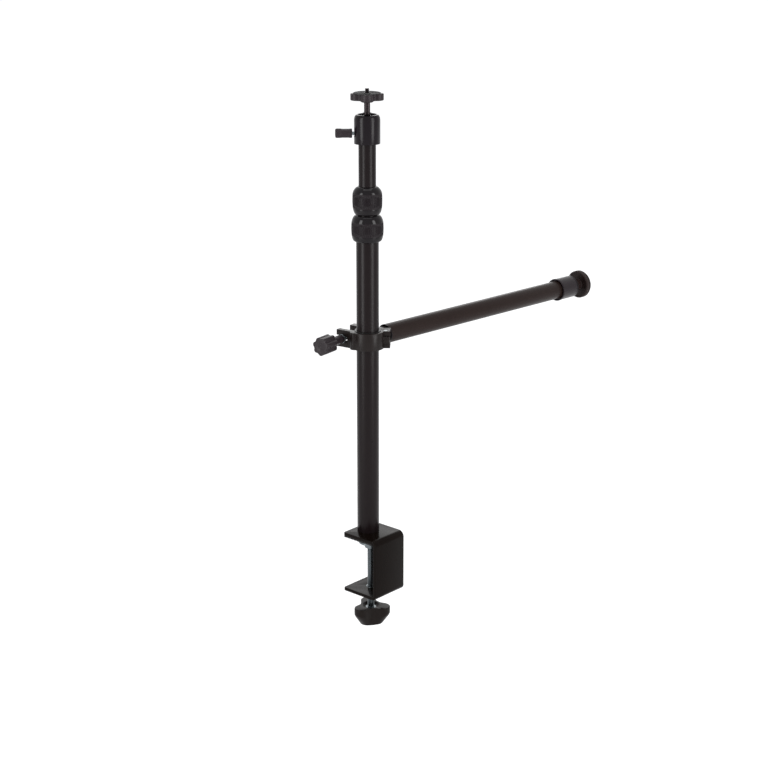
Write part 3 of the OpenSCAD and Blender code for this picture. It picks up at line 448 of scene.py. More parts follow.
class Blank:
    """A workpiece: a mesh in millimetres along Z, and the operations that shape it."""

    def __init__(self) -> None:
        """Starts an empty workpiece."""
        self.bm = bmesh.new()
        self.steps = 0

    def rounded(self, geom: Sequence[Any], width: float, segments: int, affect: str) -> None:
        """Rounds corners or edges.

        Args:
            geom: the vertices or the edges.
            width: width of the rounding.
            segments: how many parts it has.
            affect: VERTICES or EDGES.
        """
        bmesh.ops.bevel(
            self.bm,
            geom=geom,
            offset=width,
            offset_type="OFFSET",
            segments=segments,
            profile=0.5,
            affect=affect,
            clamp_overlap=affect == "EDGES",
            material=-1,
        )

    def wire(self, corners: Sequence[Corner]) -> tuple[list[Any], list[Any]]:
        """Draws an outline of (radius, height, fillet) corners and rounds them.

        Args:
            corners: the corners in order; the last repeats the first where they close.

        Returns:
            The new vertices and edges.
        """
        known = set(self.bm.verts)
        points = [self.bm.verts.new((r, 0.0, z)) for r, z, _ in corners]
        for pair in zip(points, points[1:]):
            self.bm.edges.new(pair)
        for fillet in sorted({f for _, _, f in corners if f > 0}):
            chosen = [v for v, (_, _, f) in zip(points, corners) if f == fillet and v.is_valid]
            self.rounded(chosen, fillet, 4, "VERTICES")
        verts = [v for v in self.bm.verts if v not in known]
        return verts, list({e for v in verts for e in v.link_edges})

    def spun(self, corners: Sequence[Corner], steps: int, rise: float = 0.0) -> None:
        """Draws an outline and spins it once about Z.

        Args:
            corners: the outline in order.
            steps: faces round the piece.
            rise: height gained by the turn; without any the turn closes on itself.
        """
        verts, edges = self.wire(corners)
        bmesh.ops.spin(
            self.bm,
            geom=[*verts, *edges],
            cent=(0, 0, 0),
            axis=(0, 0, 1),
            dvec=(0, 0, rise / steps),
            angle=FULL_TURN,
            steps=steps,
            use_merge=rise == 0,
        )

    def turn(self, corners: Sequence[Corner], steps: int = 96) -> "Blank":
        """Turns an outline of (radius, height, fillet) corners once about Z.

        Args:
            corners: the outline in order; one that doesn't end on the axis is closed.
            steps: faces round the piece.

        Returns:
            The workpiece.
        """
        self.steps = steps
        closing = corners[:1] if corners[-1][0] > 0 else []
        self.spun([*corners, *closing], steps)
        bmesh.ops.remove_doubles(self.bm, verts=self.bm.verts, dist=SAME)
        return self

    def thread(self, radius: float, pitch: float, low: float, high: float, point: float) -> "Blank":
        """Cuts a length of real screw thread on Z.

        Args:
            radius: radius at the crests.
            pitch: rise of one turn.
            low: where the thread starts.
            high: where it ends.
            point: length of the chamfer at each end.

        Returns:
            The workpiece.
        """
        root = radius - THREAD_DEPTH * pitch
        turns = math.ceil((high - low) / pitch) + 2
        made = 1
        begin = low - pitch
        flank = zip((root, root, radius, radius, root, root), (0.0, *THREAD_FLANKS, 1.0))
        self.spun([(r, begin + share * pitch, 0.0) for r, share in flank], THREAD_STEPS, pitch)
        while made < turns:
            geom = [*self.bm.verts, *self.bm.edges, *self.bm.faces]
            twin = bmesh.ops.duplicate(self.bm, geom=geom)["geom"]
            points = [v for v in twin if isinstance(v, bmesh.types.BMVert)]
            bmesh.ops.translate(self.bm, verts=points, vec=(0, 0, made * pitch))
            made *= 2
        bmesh.ops.remove_doubles(self.bm, verts=self.bm.verts, dist=SAME_IN_COPY)
        for level, way in ((low, -1), (high, 1)):
            bmesh.ops.bisect_plane(
                self.bm,
                geom=[*self.bm.verts, *self.bm.edges, *self.bm.faces],
                plane_co=(0, 0, level),
                plane_no=(0, 0, way),
                clear_outer=True,
            )
        open_edges = [e for e in self.bm.edges if e.is_boundary]
        bmesh.ops.holes_fill(self.bm, edges=open_edges, sides=0)
        for vert in self.bm.verts:
            room = min(vert.co.z - low, high - vert.co.z)
            limit = root - THREAD_END + room
            reach = math.hypot(vert.co.x, vert.co.y)
            if room < point and reach > limit:
                vert.co.xy *= limit / reach
        return self

    def lobed(self, reach: Callable[[float], float], full: float, start: float) -> "Blank":
        """Pulls the rim in to the edge of a lobed plan.

        Args:
            reach: gives the radius of the plan's edge at an angle.
            full: radius of the rim before.
            start: radius up to which nothing moves.

        Returns:
            The workpiece.
        """
        for vert in self.bm.verts:
            radius = math.hypot(vert.co.x, vert.co.y)
            if radius > start:
                share = min(1.0, (radius - start) / (full - start))
                edge = reach(math.atan2(vert.co.y, vert.co.x))
                vert.co.xy *= 1 + share * (edge / full - 1)
        return self

    def fluted(self, depth: float, low: float, high: float, rim: float) -> "Blank":
        """Sinks every third and fourth line of faces, which leaves ribs between flutes.

        Args:
            depth: depth of a flute.
            low: height of the lowest points that sink.
            high: height of the highest.
            rim: least radius of the rim that they are cut in.

        Returns:
            The workpiece.
        """
        for vert in self.bm.verts:
            radius = math.hypot(vert.co.x, vert.co.y)
            if radius > rim - BAND_MARGIN and low - BAND_MARGIN <= vert.co.z <= high + BAND_MARGIN:
                line = round(math.atan2(vert.co.y, vert.co.x) / FULL_TURN * self.steps)
                if line % 4 >= 2:
                    vert.co.xy *= (radius - depth) / radius
        return self

    def slab(self, plan: Sequence[Corner], low: float, high: float) -> "Blank":
        """Raises a flat plan of (x, y, fillet) corners.

        Args:
            plan: the corners in order.
            low: height of the plan.
            high: height that it is raised to.

        Returns:
            The workpiece.
        """
        points = [self.bm.verts.new((x, y, low)) for x, y, _ in plan]
        self.bm.faces.new(points)
        for vert, (_, _, fillet) in zip(points, plan):
            if fillet > 0:
                self.rounded([vert], fillet, 8, "VERTICES")
        face = max(self.bm.faces, key=lambda f: f.calc_area())
        raised = bmesh.ops.extrude_face_region(self.bm, geom=[face], use_keep_orig=True)
        top = [v for v in raised["geom"] if isinstance(v, bmesh.types.BMVert)]
        bmesh.ops.translate(self.bm, verts=top, vec=(0, 0, high - low))
        return self

    def copied(self, node: str, line: Line) -> "Blank":
        """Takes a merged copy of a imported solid, with its flat faces joined up.

        Args:
            node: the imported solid.
            line: the line that the workpiece lies on.

        Returns:
            The workpiece.
        """
        self.bm.from_mesh(FRAME["nodes"][node].data)
        bmesh.ops.transform(self.bm, matrix=line.place().inverted(), verts=self.bm.verts)
        bmesh.ops.remove_doubles(self.bm, verts=self.bm.verts, dist=SAME_IN_COPY)
        bmesh.ops.dissolve_limit(
            self.bm,
            angle_limit=math.radians(FLAT_ANGLE),
            verts=self.bm.verts,
            edges=self.bm.edges,
            use_dissolve_boundaries=False,
        )
        return self

    def softened(self, width: float, segments: int) -> "Blank":
        """Rounds every sharp edge.

        Args:
            width: width of the rounding.
            segments: faces across it.

        Returns:
            The workpiece.
        """
        inner = [e for e in self.bm.edges if len(e.link_faces) == 2]
        sharp = [e for e in inner if e.calc_face_angle(0.0) > math.radians(EDGE_ANGLE)]
        self.rounded(sharp, width, segments, "EDGES")
        return self

    def joined(self, other: "Blank") -> "Blank":
        """Adds another workpiece to this one.

        Args:
            other: the workpiece to add, which is used up.

        Returns:
            The workpiece.
        """
        spare = bpy.data.meshes.new("spare")
        other.bm.to_mesh(spare)
        other.bm.free()
        self.bm.from_mesh(spare)
        bpy.data.meshes.remove(spare)
        return self

    def finished(self, name: str, line: Line, finish: Finish, *nodes: str) -> bpy.types.Object:
        """Puts the workpiece in its place, on its body, in its finish.

        Args:
            name: name of the piece.
            line: the line that it was made on.
            finish: its finish.
            *nodes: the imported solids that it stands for.

        Returns:
            The finished piece.
        """
        bmesh.ops.transform(self.bm, matrix=line.place(), verts=self.bm.verts)
        bmesh.ops.remove_doubles(self.bm, verts=self.bm.verts, dist=SAME * MM)
        bmesh.ops.recalc_face_normals(self.bm, faces=self.bm.faces)
        mesh = bpy.data.meshes.new(name)
        self.bm.to_mesh(mesh)
        self.bm.free()
        mesh.polygons.foreach_set("use_smooth", [True] * len(mesh.polygons))
        mesh.set_sharp_from_angle(angle=math.radians(SHARP_ANGLE))
        mesh.materials.append(finish.material(line))
        piece = new_object(name, mesh)
        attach(piece, FRAME["nodes"][nodes[0]]["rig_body"])
        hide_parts(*nodes)
        LOG.info("%s: %d faces, for %s", name, len(mesh.polygons), ", ".join(nodes))
        return piece


def dress(finish: Finish, line: Line, *nodes: str) -> None:
    """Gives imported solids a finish.

    Args:
        finish: the finish.
        line: the line that its marks follow.
        *nodes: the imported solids.
    """
    for node in nodes:
        for material_slot in FRAME["nodes"][node].material_slots:
            material_slot.material = finish.material(line)
        LOG.info("%s: packed solid in %s", node, finish.name)


def softened_copy(
    node: str, name: str, line: Line, finish: Finish, width: float, segments: int = 3
) -> None:
    """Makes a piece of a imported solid's copy by rounding its edges."""
    Blank().copied(node, line).softened(width, segments).finished(name, line, finish, node)


def groove(middle: float, level: float, mouth: float, bottom: float, depth: float) -> list[Corner]:
    """Gives the corners of a groove in an outline.

    Args:
        middle: where the groove is along its face.
        level: height of the face.
        mouth: half its width at the face, negative where the outline runs backwards.
        bottom: half its width at the bottom, of the same sign.
        depth: rise from the face to the bottom.

    Returns:
        Four corners in order.
    """
    return [
        (middle - mouth, level, 0),
        (middle - bottom, level + depth, 0),
        (middle + bottom, level + depth, 0),
        (middle + mouth, level, 0),
    ]


def lobe_reach(
    count: int, tip: float, half_width: float, base: float, turn: float
) -> Callable[[float], float]:
    """Describes the edge of a plan of round-ended lobes round a middle.

    Args:
        count: number of lobes.
        tip: radius at their tips.
        half_width: radius of their round ends.
        base: radius of the middle.
        turn: heading of the first lobe in degrees.

    Returns:
        A function that gives the radius of the edge at an angle.
    """
    centre = tip - half_width
    softness = 18

    def one(angle: float) -> float:
        """Measures one lobe.

        Args:
            angle: the heading, from the lobe's middle.

        Returns:
            Radius of the lobe's edge there, or 0 where it has none.
        """
        away = (angle + math.pi) % FULL_TURN - math.pi
        if abs(away) >= math.pi / 2:
            return 0.0
        side = half_width / max(abs(math.sin(away)), 1e-6)
        if side * math.cos(away) <= centre:
            return side
        return centre * math.cos(away) + math.sqrt(max(half_width**2 - (centre * math.sin(away)) ** 2, 0.0))

    def edge(angle: float) -> float:
        """Measures the whole plan.

        Args:
            angle: the heading.

        Returns:
            Radius of the plan's edge there.
        """
        lobes = [one(angle - math.radians(turn) - FULL_TURN * i / count) for i in range(count)]
        total = sum((r / tip) ** softness for r in lobes) + (base / tip) ** softness
        return min(tip, tip * total ** (1 / softness))

    return edge


@dataclass
class Bracket:
    """The bent C bracket with its desk pad and threaded nut."""

    edge: float = 0.6
    nut_edge: float = 0.35
    pad_edge: float = 0.3
    pad_ribs: int = 9
    groove_mouth: float = 0.7
    groove_bottom: float = 0.4
    groove_depth: float = 0.5

    def pad(self) -> None:
        """Makes the rubber pad under the upper jaw, with shallow grooves across its face."""
        low, high = extent("desk_pad")
        pitch = (high.y - low.y) / self.pad_ribs
        outline: list[Corner] = [(low.y, high.z, 0), (low.y, low.z, self.pad_edge)]
        for i in range(1, self.pad_ribs):
            middle = low.y + i * pitch
            outline += groove(middle, low.z, self.groove_mouth, self.groove_bottom, self.groove_depth)
        outline += [(high.y, low.z, self.pad_edge), (high.y, high.z, 0)]
        blank = Blank().slab(outline, low.x, high.x)
        # The plan was drawn flat, and stands up across the jaw
        stand = Matrix(((0, 0, 1, 0), (1, 0, 0, 0), (0, 1, 0, 0), (0, 0, 0, 1)))
        bmesh.ops.transform(blank.bm, matrix=stand, verts=blank.bm.verts)
        blank.finished("desk_pad_ribbed", Line.COLUMN, RUBBER, "desk_pad")

    def build(self) -> None:
        """Makes the bracket, its pad and its nut."""
        softened_copy("clamp_bracket", "bent_bracket", Line.COLUMN, GLOSS_COAT, self.edge)
        self.pad()
        softened_copy("clamp_nut", "clamp_nut_collar", Line.SPINDLE, STEEL, self.nut_edge)
        dress(ZINC, Line.COLUMN, "column_screw")


@dataclass
class ClampScrew:
    """The threaded spindle with its knob and its swivelling pressure foot."""

    pitch: float = 1.5
    radius: float = 5.0
    point: float = 0.8
    steps: int = 48
    # How deep in the knob's insert the thread starts and the shank ends
    thread_in: float = 6.0
    shank_in: float = 5.0
    # How far under the pressure plate the thread ends and the neck starts
    thread_below: float = 1.5
    neck_below: float = 2.0
    neck: float = 3.5
    head: float = 4.7
    head_h: float = 2.4
    lobes: int = 3
    tip: float = 29.5
    lobe: float = 11.0
    core: float = 15.0
    base: float = 17.5
    turn: float = 55.0
    hub: float = 9.0
    slope: float = 4.0
    dish: float = 3.0
    rim: float = 10.0
    belly: float = 3.0
    belly_in: float = 1.5
    cap: float = 10.0
    cap_t: float = 1.5
    bore: float = 7.55
    plate_edge: float = 0.4
    rings: int = 3
    ring_first: float = 3.5
    ring_pitch: float = 4.2
    ring_mouth: float = 0.6
    ring_bottom: float = 0.3
    ring_depth: float = 0.5

    def spindle(self) -> None:
        """Makes the spindle with its real thread, its neck and its head."""
        low, high = extent("clamp_spindle")
        hub = extent("knob_insert")[1].z
        foot = extent("pressure_plate")[0].z
        start = hub - self.thread_in
        blank = Blank().thread(self.radius, self.pitch, start, foot - self.thread_below, self.point)
        shank_end = hub - self.shank_in
        shank: list[Corner] = [
            (0, low.z, 0),
            (self.head, low.z, 0.4),
            (self.head, shank_end, 0),
            (0, shank_end, 0),
        ]
        neck_start = foot - self.neck_below
        head: list[Corner] = [
            (0, neck_start, 0),
            (self.neck, neck_start, 0),
            (self.neck, high.z - self.head_h, 0),
            (self.head, high.z - self.head_h, 0.2),
            (self.head, high.z, 0.5),
            (0, high.z, 0),
        ]
        blank.joined(Blank().turn(shank, self.steps)).joined(Blank().turn(head, self.steps))
        blank.finished("clamp_spindle_thread", Line.SPINDLE, STEEL, "clamp_spindle")

    def knob(self) -> None:
        """Makes the three-lobed knob with its dished top and tapered foot."""
        low, high = extent("clamp_knob")
        belly = high.z - self.rim - self.belly
        outline: list[Corner] = [
            (self.bore, high.z - self.dish, 0),
            (self.hub, high.z - self.dish, 0.6),
            (self.hub + self.slope, high.z, 1.2),
            (self.tip, high.z, 1.3),
            (self.tip, high.z - self.rim / 2, 0),
            (self.tip, high.z - self.rim, 1.2),
            (self.tip - self.belly_in, belly, 1.2),
            (self.base, low.z, 1.4),
            (self.cap, low.z, 0),
            (self.cap, low.z + self.cap_t, 0),
            (self.bore, low.z + self.cap_t, 0),
        ]
        reach = lobe_reach(self.lobes, self.tip, self.lobe, self.core, self.turn)
        blank = Blank().turn(outline, KNOB_STEPS).lobed(reach, self.tip, self.cap)
        # The knob's finish carries painted shade: it is darkened for the shadow under the bracket
        blank.finished("clamp_knob_moulding", Line.SPINDLE, SHADE_DARKENED_BLACK, "clamp_knob")

    def foot(self) -> None:
        """Makes the pressure plate with its socket, and its rubber pad with rings."""
        low, high = extent("pressure_pad")
        radius = (high.x - low.x) / 2
        outline: list[Corner] = [(0, low.z, 0), (radius, low.z, 0), (radius, high.z, 0.5)]
        for i in range(self.rings):
            ring = radius - self.ring_first - self.ring_pitch * i
            outline += groove(ring, high.z, -self.ring_mouth, -self.ring_bottom, -self.ring_depth)
        outline.append((0, high.z, 0))
        Blank().turn(outline).finished("pressure_pad_rings", Line.SPINDLE, RUBBER, "pressure_pad")
        softened_copy("pressure_plate", "pressure_plate_turned", Line.SPINDLE, STEEL, self.plate_edge)

    def build(self) -> None:
        """Makes the spindle, the knob and the foot."""
        self.spindle()
        self.knob()
        self.foot()
        dress(STEEL, Line.SPINDLE, "knob_insert")
        # The knob's cap gets the same darkened finish, painted shade under the bracket
        dress(SHADE_DARKENED_BLACK, Line.SPINDLE, "knob_cap")


@dataclass
class TwistLock:
    """A ribbed collar that locks one tube on the next."""

    node: str
    bore: float
    throat: float
    foot: float
    body: float
    rim: float
    taper: float
    cone: float
    ribs: int = 60
    groove: float = 0.6
    belly: float = 0.4
    foot_edge: float = 0.8
    arc_steps: int = 6
    side_rings: int = 9
    side_gap: float = 0.8
    mouth: float = 6.0

    def arc(self, end: float, start: float, height: float) -> list[Corner]:
        """Points of a bulging end, from the body to its rim.

        Args:
            end: radius of the rim.
            start: height at which the body ends.
            height: rise from there to the rim, negative at the foot.

        Returns:
            The corners, the first on the body.
        """
        width = self.body - self.belly - end
        corners: list[Corner] = []
        for i in range(self.arc_steps + 1):
            along = i / self.arc_steps
            across = math.cos(math.radians(90 * along))
            rise = math.sin(math.radians(90 * along))
            corners.append((end + width * (1 - along + across) / 2, start + height * (along + rise) / 2, 0))
        return corners

    def build(self) -> None:
        """Makes the collar with its tapered foot, its ribs and its shoulder."""
        low, high = extent(self.node)
        foot_top = low.z + self.taper
        shoulder = high.z - self.cone
        foot = self.arc(self.foot, foot_top, self.foot_edge - self.taper)
        sides: list[Corner] = []
        for i in range(self.side_rings):
            share = i / (self.side_rings - 1)
            level = foot_top + self.side_gap + (shoulder - foot_top - 2 * self.side_gap) * share
            sides.append((self.body - self.belly * (2 * share - 1) ** 2, level, 0))
        outline: list[Corner] = [
            (self.bore, low.z, 0),
            (self.foot - self.foot_edge, low.z, 0.3),
            *reversed(foot),
            *sides,
            *self.arc(self.rim, shoulder, self.cone),
            (self.throat, high.z, 0.3),
            (self.throat, high.z - self.mouth, 0),
            (self.bore, low.z + self.mouth, 0),
        ]
        blank = Blank().turn(outline, 4 * self.ribs)
        blank.fluted(self.groove, sides[1][1], sides[-2][1], self.body - self.belly)
        piece = blank.finished(f"{self.node}_ribbed", Line.COLUMN, NYLON, self.node)
        piece.data.materials.append(GLOSS_NYLON.material(Line.COLUMN))
        for face in piece.data.polygons:
            if not foot_top < face.center.z / MM < shoulder:
                face.material_index = 1


@dataclass
class Tube:
    """A plain tube with broken edges."""

    node: str
    line: Line
    finish: Finish
    radius: float
    wall: float
    start: float
    end: float

    def build(self) -> None:
        """Makes the tube."""
        inner = self.radius - self.wall
        outline: list[Corner] = [
            (inner, self.start, 0),
            (self.radius, self.start, 0.3),
            (self.radius, self.end, 0.3),
            (inner, self.end, 0.2),
        ]
        Blank().turn(outline, TUBE_STEPS).finished(f"{self.node}_drawn", self.line, self.finish, self.node)


@dataclass
class Column:
    """The three tubes, their locks and the parts inside them."""

    wall: float = 1.5
    radii: tuple[tuple[str, float], ...] = (
        ("main_tube", 16.0),
        ("middle_tube", 14.0),
        ("top_tube", 12.2),
    )
    # Bore, throat, foot, body, rim, taper and cone, in the order of the lock's fields
    locks: tuple[TwistLock, ...] = (
        TwistLock("lower_lock_collar", 16.05, 14.3, 20.25, 22.75, 17.5, 8.0, 9.0),
        TwistLock("upper_lock_collar", 14.05, 12.5, 18.0, 21.0, 13.5, 9.0, 9.0),
    )

    def build(self) -> None:
        """Makes the tubes and locks, and dresses what lies inside."""
        for node, radius in self.radii:
            low, high = extent(node)
            Tube(node, Line.COLUMN, TUBE, radius, self.wall, low.z, high.z).build()
        for lock in self.locks:
            lock.build()
        dress(PLUG, Line.COLUMN, "column_base_plug", "top_plug")
        dress(ACETAL, Line.COLUMN, "middle_guide_bush", "top_guide_bush")
        dress(ACETAL, Line.COLUMN, "lower_lock_ferrule", "lower_lock_collet")
        dress(ACETAL, Line.COLUMN, "upper_lock_ferrule", "upper_lock_collet")


@dataclass
class BallHead:
    """The housing with its ball, its side screw, its lock wheel and its stud."""

    housing_edge: float = 0.3
    wheel_tip: float = 23.0
    wheel_lobes: int = 4
    wheel_lobe: float = 9.0
    wheel_web: float = 14.0
    wheel_turn: float = 42.0
    wheel_hub: float = 8.0
    wheel_hub_h: float = 2.7
    # The lobes are pulled in past the first radius, and its faces have points at the second
    wheel_round: float = 8.5
    wheel_face: float = 12.0
    stud: float = 3.175
    stud_pitch: float = 1.27
    stud_point: float = 0.7
    rings: int = 5
    ring_first: float = 2.0
    ring_pitch: float = 2.6
    ring_half: float = 0.4
    ring_depth: float = 0.3
    knob_start: float = 20.75
    knob_end: float = 44.25
    knob_grip: float = 8.0
    knob_lip: float = 3.0
    knob_slope: float = 2.0
    knob_flare: float = 1.0
    knob_crown: float = 2.0
    knob_wall: float = 4.0
    knob_r: float = 6.5
    waist_r: float = 6.2
    screw_r: float = 2.53
    knob_ribs: int = 20
    flute: float = 0.35
    # Plain band of the rim under the flutes, and over them
    band_low: float = 0.4
    band_high: float = 0.2

    def wheel(self) -> None:
        """Makes the four-lobed lock wheel with soft edges and a hub."""
        low, high = extent("lock_wheel")
        bore = self.stud + STUD_PLAY
        under = low.z + self.wheel_hub_h
        outline: list[Corner] = [
            (bore, low.z, 0),
            (self.wheel_hub, low.z, 0.5),
            (self.wheel_hub, under, 0),
            (self.wheel_face, under, 0),
            (self.wheel_tip, under, 1.2),
            (self.wheel_tip, (under + high.z) / 2, 0),
            (self.wheel_tip, high.z, 1.2),
            (self.wheel_face, high.z, 0),
            (bore, high.z, 0),
        ]
        reach = lobe_reach(
            self.wheel_lobes, self.wheel_tip, self.wheel_lobe, self.wheel_web, self.wheel_turn
        )
        blank = Blank().turn(outline, KNOB_STEPS).lobed(reach, self.wheel_tip, self.wheel_round)
        blank.finished("lock_wheel_moulding", Line.COLUMN, ABS, "lock_wheel")

    def disc(self) -> None:
        """Makes the friction disc with fine rings in its face."""
        low, high = extent("friction_disc")
        radius = (high.x - low.x) / 2
        bore = self.stud + STUD_PLAY
        outline: list[Corner] = [(bore, low.z, 0), (radius, low.z, 0), (radius, high.z, 0.3)]
        for i in range(self.rings):
            ring = radius - self.ring_first - self.ring_pitch * i
            outline += [
                (ring + self.ring_half, high.z, 0),
                (ring, high.z - self.ring_depth, 0),
                (ring - self.ring_half, high.z, 0),
            ]
        outline.append((bore, high.z, 0))
        Blank().turn(outline).finished("friction_disc_rings", Line.COLUMN, RUBBER, "friction_disc")

    def camera_stud(self) -> None:
        """Makes the quarter inch stud with its real thread."""
        low, high = extent("camera_stud")
        blank = Blank().thread(self.stud, self.stud_pitch, low.z, high.z, self.stud_point)
        blank.finished("camera_stud_thread", Line.COLUMN, BURNISHED, "camera_stud")

    def side_knob(self) -> None:
        """Makes the waisted side knob with its fluted grip."""
        start = self.knob_start
        end = self.knob_end
        grip = end - self.knob_grip
        lip = start + self.knob_lip
        flutes_low = grip + self.band_low
        flutes_high = end - self.knob_crown - self.band_high
        outline: list[Corner] = [
            (self.screw_r, start, 0),
            (self.knob_r, start, 0.9),
            (self.knob_r, lip, 0.4),
            (self.waist_r, lip + self.knob_slope, 0.6),
            (self.waist_r, grip - self.knob_flare, 0.4),
            (self.knob_r, grip, 0),
            (self.knob_r, flutes_low, 0),
            (self.knob_r, flutes_high, 0),
            (self.knob_r, end, self.knob_crown),
            (0, end, 0),
            (0, end - self.knob_wall, 0),
            (self.screw_r, end - self.knob_wall, 0),
        ]
        blank = Blank().turn(outline, 4 * self.knob_ribs)
        blank.fluted(self.flute, flutes_low, flutes_high, self.knob_r)
        blank.finished("side_knob_fluted", Line.SIDE_SCREW, ABS, "ball_lock_knob")

    def build(self) -> None:
        """Makes the visible pieces and dresses the rest."""
        edge = self.housing_edge
        softened_copy("ball_housing", "ball_housing_turned", Line.COLUMN, BLACK_TURNED, edge, 2)
        self.wheel()
        self.disc()
        self.camera_stud()
        self.side_knob()
        dress(BURNISHED, Line.COLUMN, "ball_stem")
        dress(STEEL, Line.SIDE_SCREW, "ball_lock_screw")
        dress(ACETAL, Line.COLUMN, "ball_seat")


@dataclass
class Collar:
    """The clamp collar with its gate, its hinge, its screw and its star knob."""

    cast_edge: float = 0.45
    pressed_edge: float = 0.25
    screw: float = 4.0
    screw_pitch: float = 1.25
    screw_point: float = 0.7
    screw_start: float = -66.1
    screw_end: float = 38.1
    star: float = 13.5
    star_lobe: float = 3.4
    star_lobes: int = 7
    star_web: float = 1.4
    lobe_steps: int = 24
    boss: float = 6.3
    boss_end: float = -46.1
    boss_round: float = 0.5
    grip: float = 26.0
    washer_end: float = -20.6
    # The grip's near face is at the boss: how far inside its rim the two faces start
    near_in: float = 2.5
    far_in: float = 4.0
    near_step: float = 0.6
    near_slope: float = 0.3
    # The dimple in the far face, and the depth at which the screw's hole ends
    dimple: float = 4.0
    dimple_floor: float = 3.0
    dimple_depth: float = 0.5
    far_wall: float = 6.0

    def star_knob(self) -> None:
        """Makes the star knob: a boss and a grip with round lobes."""
        bore = self.screw + SLIDE_PLAY
        end = self.boss_end - self.grip
        outline: list[Corner] = [
            (bore, self.washer_end, 0),
            (self.boss, self.washer_end, 0.4),
            (self.boss, self.boss_end + self.near_step, 0.5),
            (self.star - self.near_in, self.boss_end, 0),
            (self.star, self.boss_end - self.near_slope, 1.4),
            (self.star, (self.boss_end + end) / 2, 0),
            (self.star, end, 1.6),
            (self.star - self.far_in, end, 0),
            (self.dimple, end, 0),
            (self.dimple_floor, end + self.dimple_depth, 0.2),
            (0, end + self.dimple_depth, 0),
            (0, end + self.far_wall, 0),
            (bore, end + self.far_wall, 0),
        ]
        core = self.star - self.star_lobe + self.star_web
        reach = lobe_reach(self.star_lobes, self.star, self.star_lobe, core, 0.0)
        blank = Blank().turn(outline, self.lobe_steps * self.star_lobes)
        blank.lobed(reach, self.star, self.boss + self.boss_round)
        blank.finished("star_knob_moulding", Line.COLLAR_SCREW, ABS, "star_knob")

    def build(self) -> None:
        """Makes the two halves, the screw and the knob, and dresses the rest."""
        for node in ("collar_rear", "collar_gate"):
            softened_copy(node, f"{node}_casting", Line.COLUMN, CAST, self.cast_edge)
        for node in ("collar_nut", "collar_washer"):
            softened_copy(node, f"{node}_pressed", Line.COLLAR_SCREW, STEEL, self.pressed_edge, 2)
        self.star_knob()
        screw = Blank().thread(
            self.screw, self.screw_pitch, self.screw_start, self.screw_end, self.screw_point
        )
        screw.finished("collar_screw_thread", Line.COLLAR_SCREW, STEEL, "collar_screw")
        dress(STEEL, Line.HINGE, "hinge_pin")
        dress(ACETAL, Line.COLUMN, "column_liner")


@dataclass
class Arm:
    """The horizontal arm with its sleeve, and the disc and stud at its end."""

    radius: float = 14.0
    wall: float = 1.6
    start: float = 35.5
    end: float = 440.0
    sleeve: float = 17.0
    sleeve_start: float = 407.0
    lip: float = 17.5
    lip_length: float = 3.0
    # The open gap under the lip: its outer radius and its depth
    gap: float = 15.7
    gap_depth: float = 4.0
    stud: float = 3.175
    stud_pitch: float = 1.27
    stud_point: float = 0.7
    stud_start: float = 444.5
    stud_end: float = 475.0
    disc: float = 21.7
    disc_hub: float = 8.5
    disc_wall: float = 3.0
    disc_dish: float = 1.6
    hub_start: float = 452.8
    disc_back: float = 459.0
    disc_front: float = 467.0
    bevel_back: float = 1.4
    bevel_front: float = 0.7
    # Plain band of the rim on either side of the flutes
    band: float = 0.5
    flutes: int = 72
    flute: float = 0.35

    def end_disc(self) -> None:
        """Makes the disc with its dished back and a fluted rim."""
        bore = self.stud + STUD_PLAY
        rim = self.disc
        dish = self.disc_back + self.disc_dish
        rim_low = self.disc_back + self.bevel_back
        rim_high = self.disc_front - self.bevel_front
        outline: list[Corner] = [
            (bore, self.hub_start, 0),
            (self.disc_hub, self.hub_start, 0.5),
            (self.disc_hub, dish, 0.8),
            (rim - self.disc_wall, dish, 0.5),
            (rim - self.disc_wall, self.disc_back, 0.4),
            (rim - self.bevel_back, self.disc_back, 0.2),
            (rim, rim_low, 0),
            (rim, rim_low + self.band, 0),
            (rim, rim_high - self.band, 0),
            (rim, rim_high, 0),
            (rim - self.bevel_front, self.disc_front, 0.2),
            (bore, self.disc_front, 0),
        ]
        blank = Blank().turn(outline, 4 * self.flutes)
        blank.fluted(self.flute, rim_low + self.band, rim_high - self.band, rim)
        blank.finished("end_disc_turned", Line.ARM, BROWN_TURNED, "arm_end_disc")

    def end_sleeve(self) -> None:
        """Makes the sleeve with its lip and the open gap under it."""
        bore = self.radius + SLIDE_PLAY
        lip_end = self.sleeve_start + self.lip_length
        gap_end = self.sleeve_start + self.gap_depth
        outline: list[Corner] = [
            (bore, self.end, 0),
            (self.sleeve, self.end, 0.5),
            (self.sleeve, lip_end, 0.2),
            (self.lip, lip_end, 0.3),
            (self.lip, self.sleeve_start, 0.5),
            (self.gap, self.sleeve_start, 0.3),
            (self.gap, gap_end, 0.3),
            (bore, gap_end, 0),
        ]
        Blank().turn(outline, TUBE_STEPS).finished("arm_sleeve_turned", Line.ARM, SLEEVE, "arm_sleeve")

    def build(self) -> None:
        """Makes the visible pieces and dresses the rest."""
        Tube("arm_tube", Line.ARM, ARM_TUBE, self.radius, self.wall, self.start, self.end).build()
        self.end_sleeve()
        self.end_disc()
        stud = Blank().thread(self.stud, self.stud_pitch, self.stud_start, self.stud_end, self.stud_point)
        stud.finished("arm_stud_thread", Line.ARM, ZINC, "arm_end_stud")
        dress(BLACK_TURNED, Line.ARM, "arm_end_plug", "arm_plug")
        dress(RUBBER, Line.ARM, "arm_end_pad")
        dress(ZINC, Line.ARM, "arm_screw")


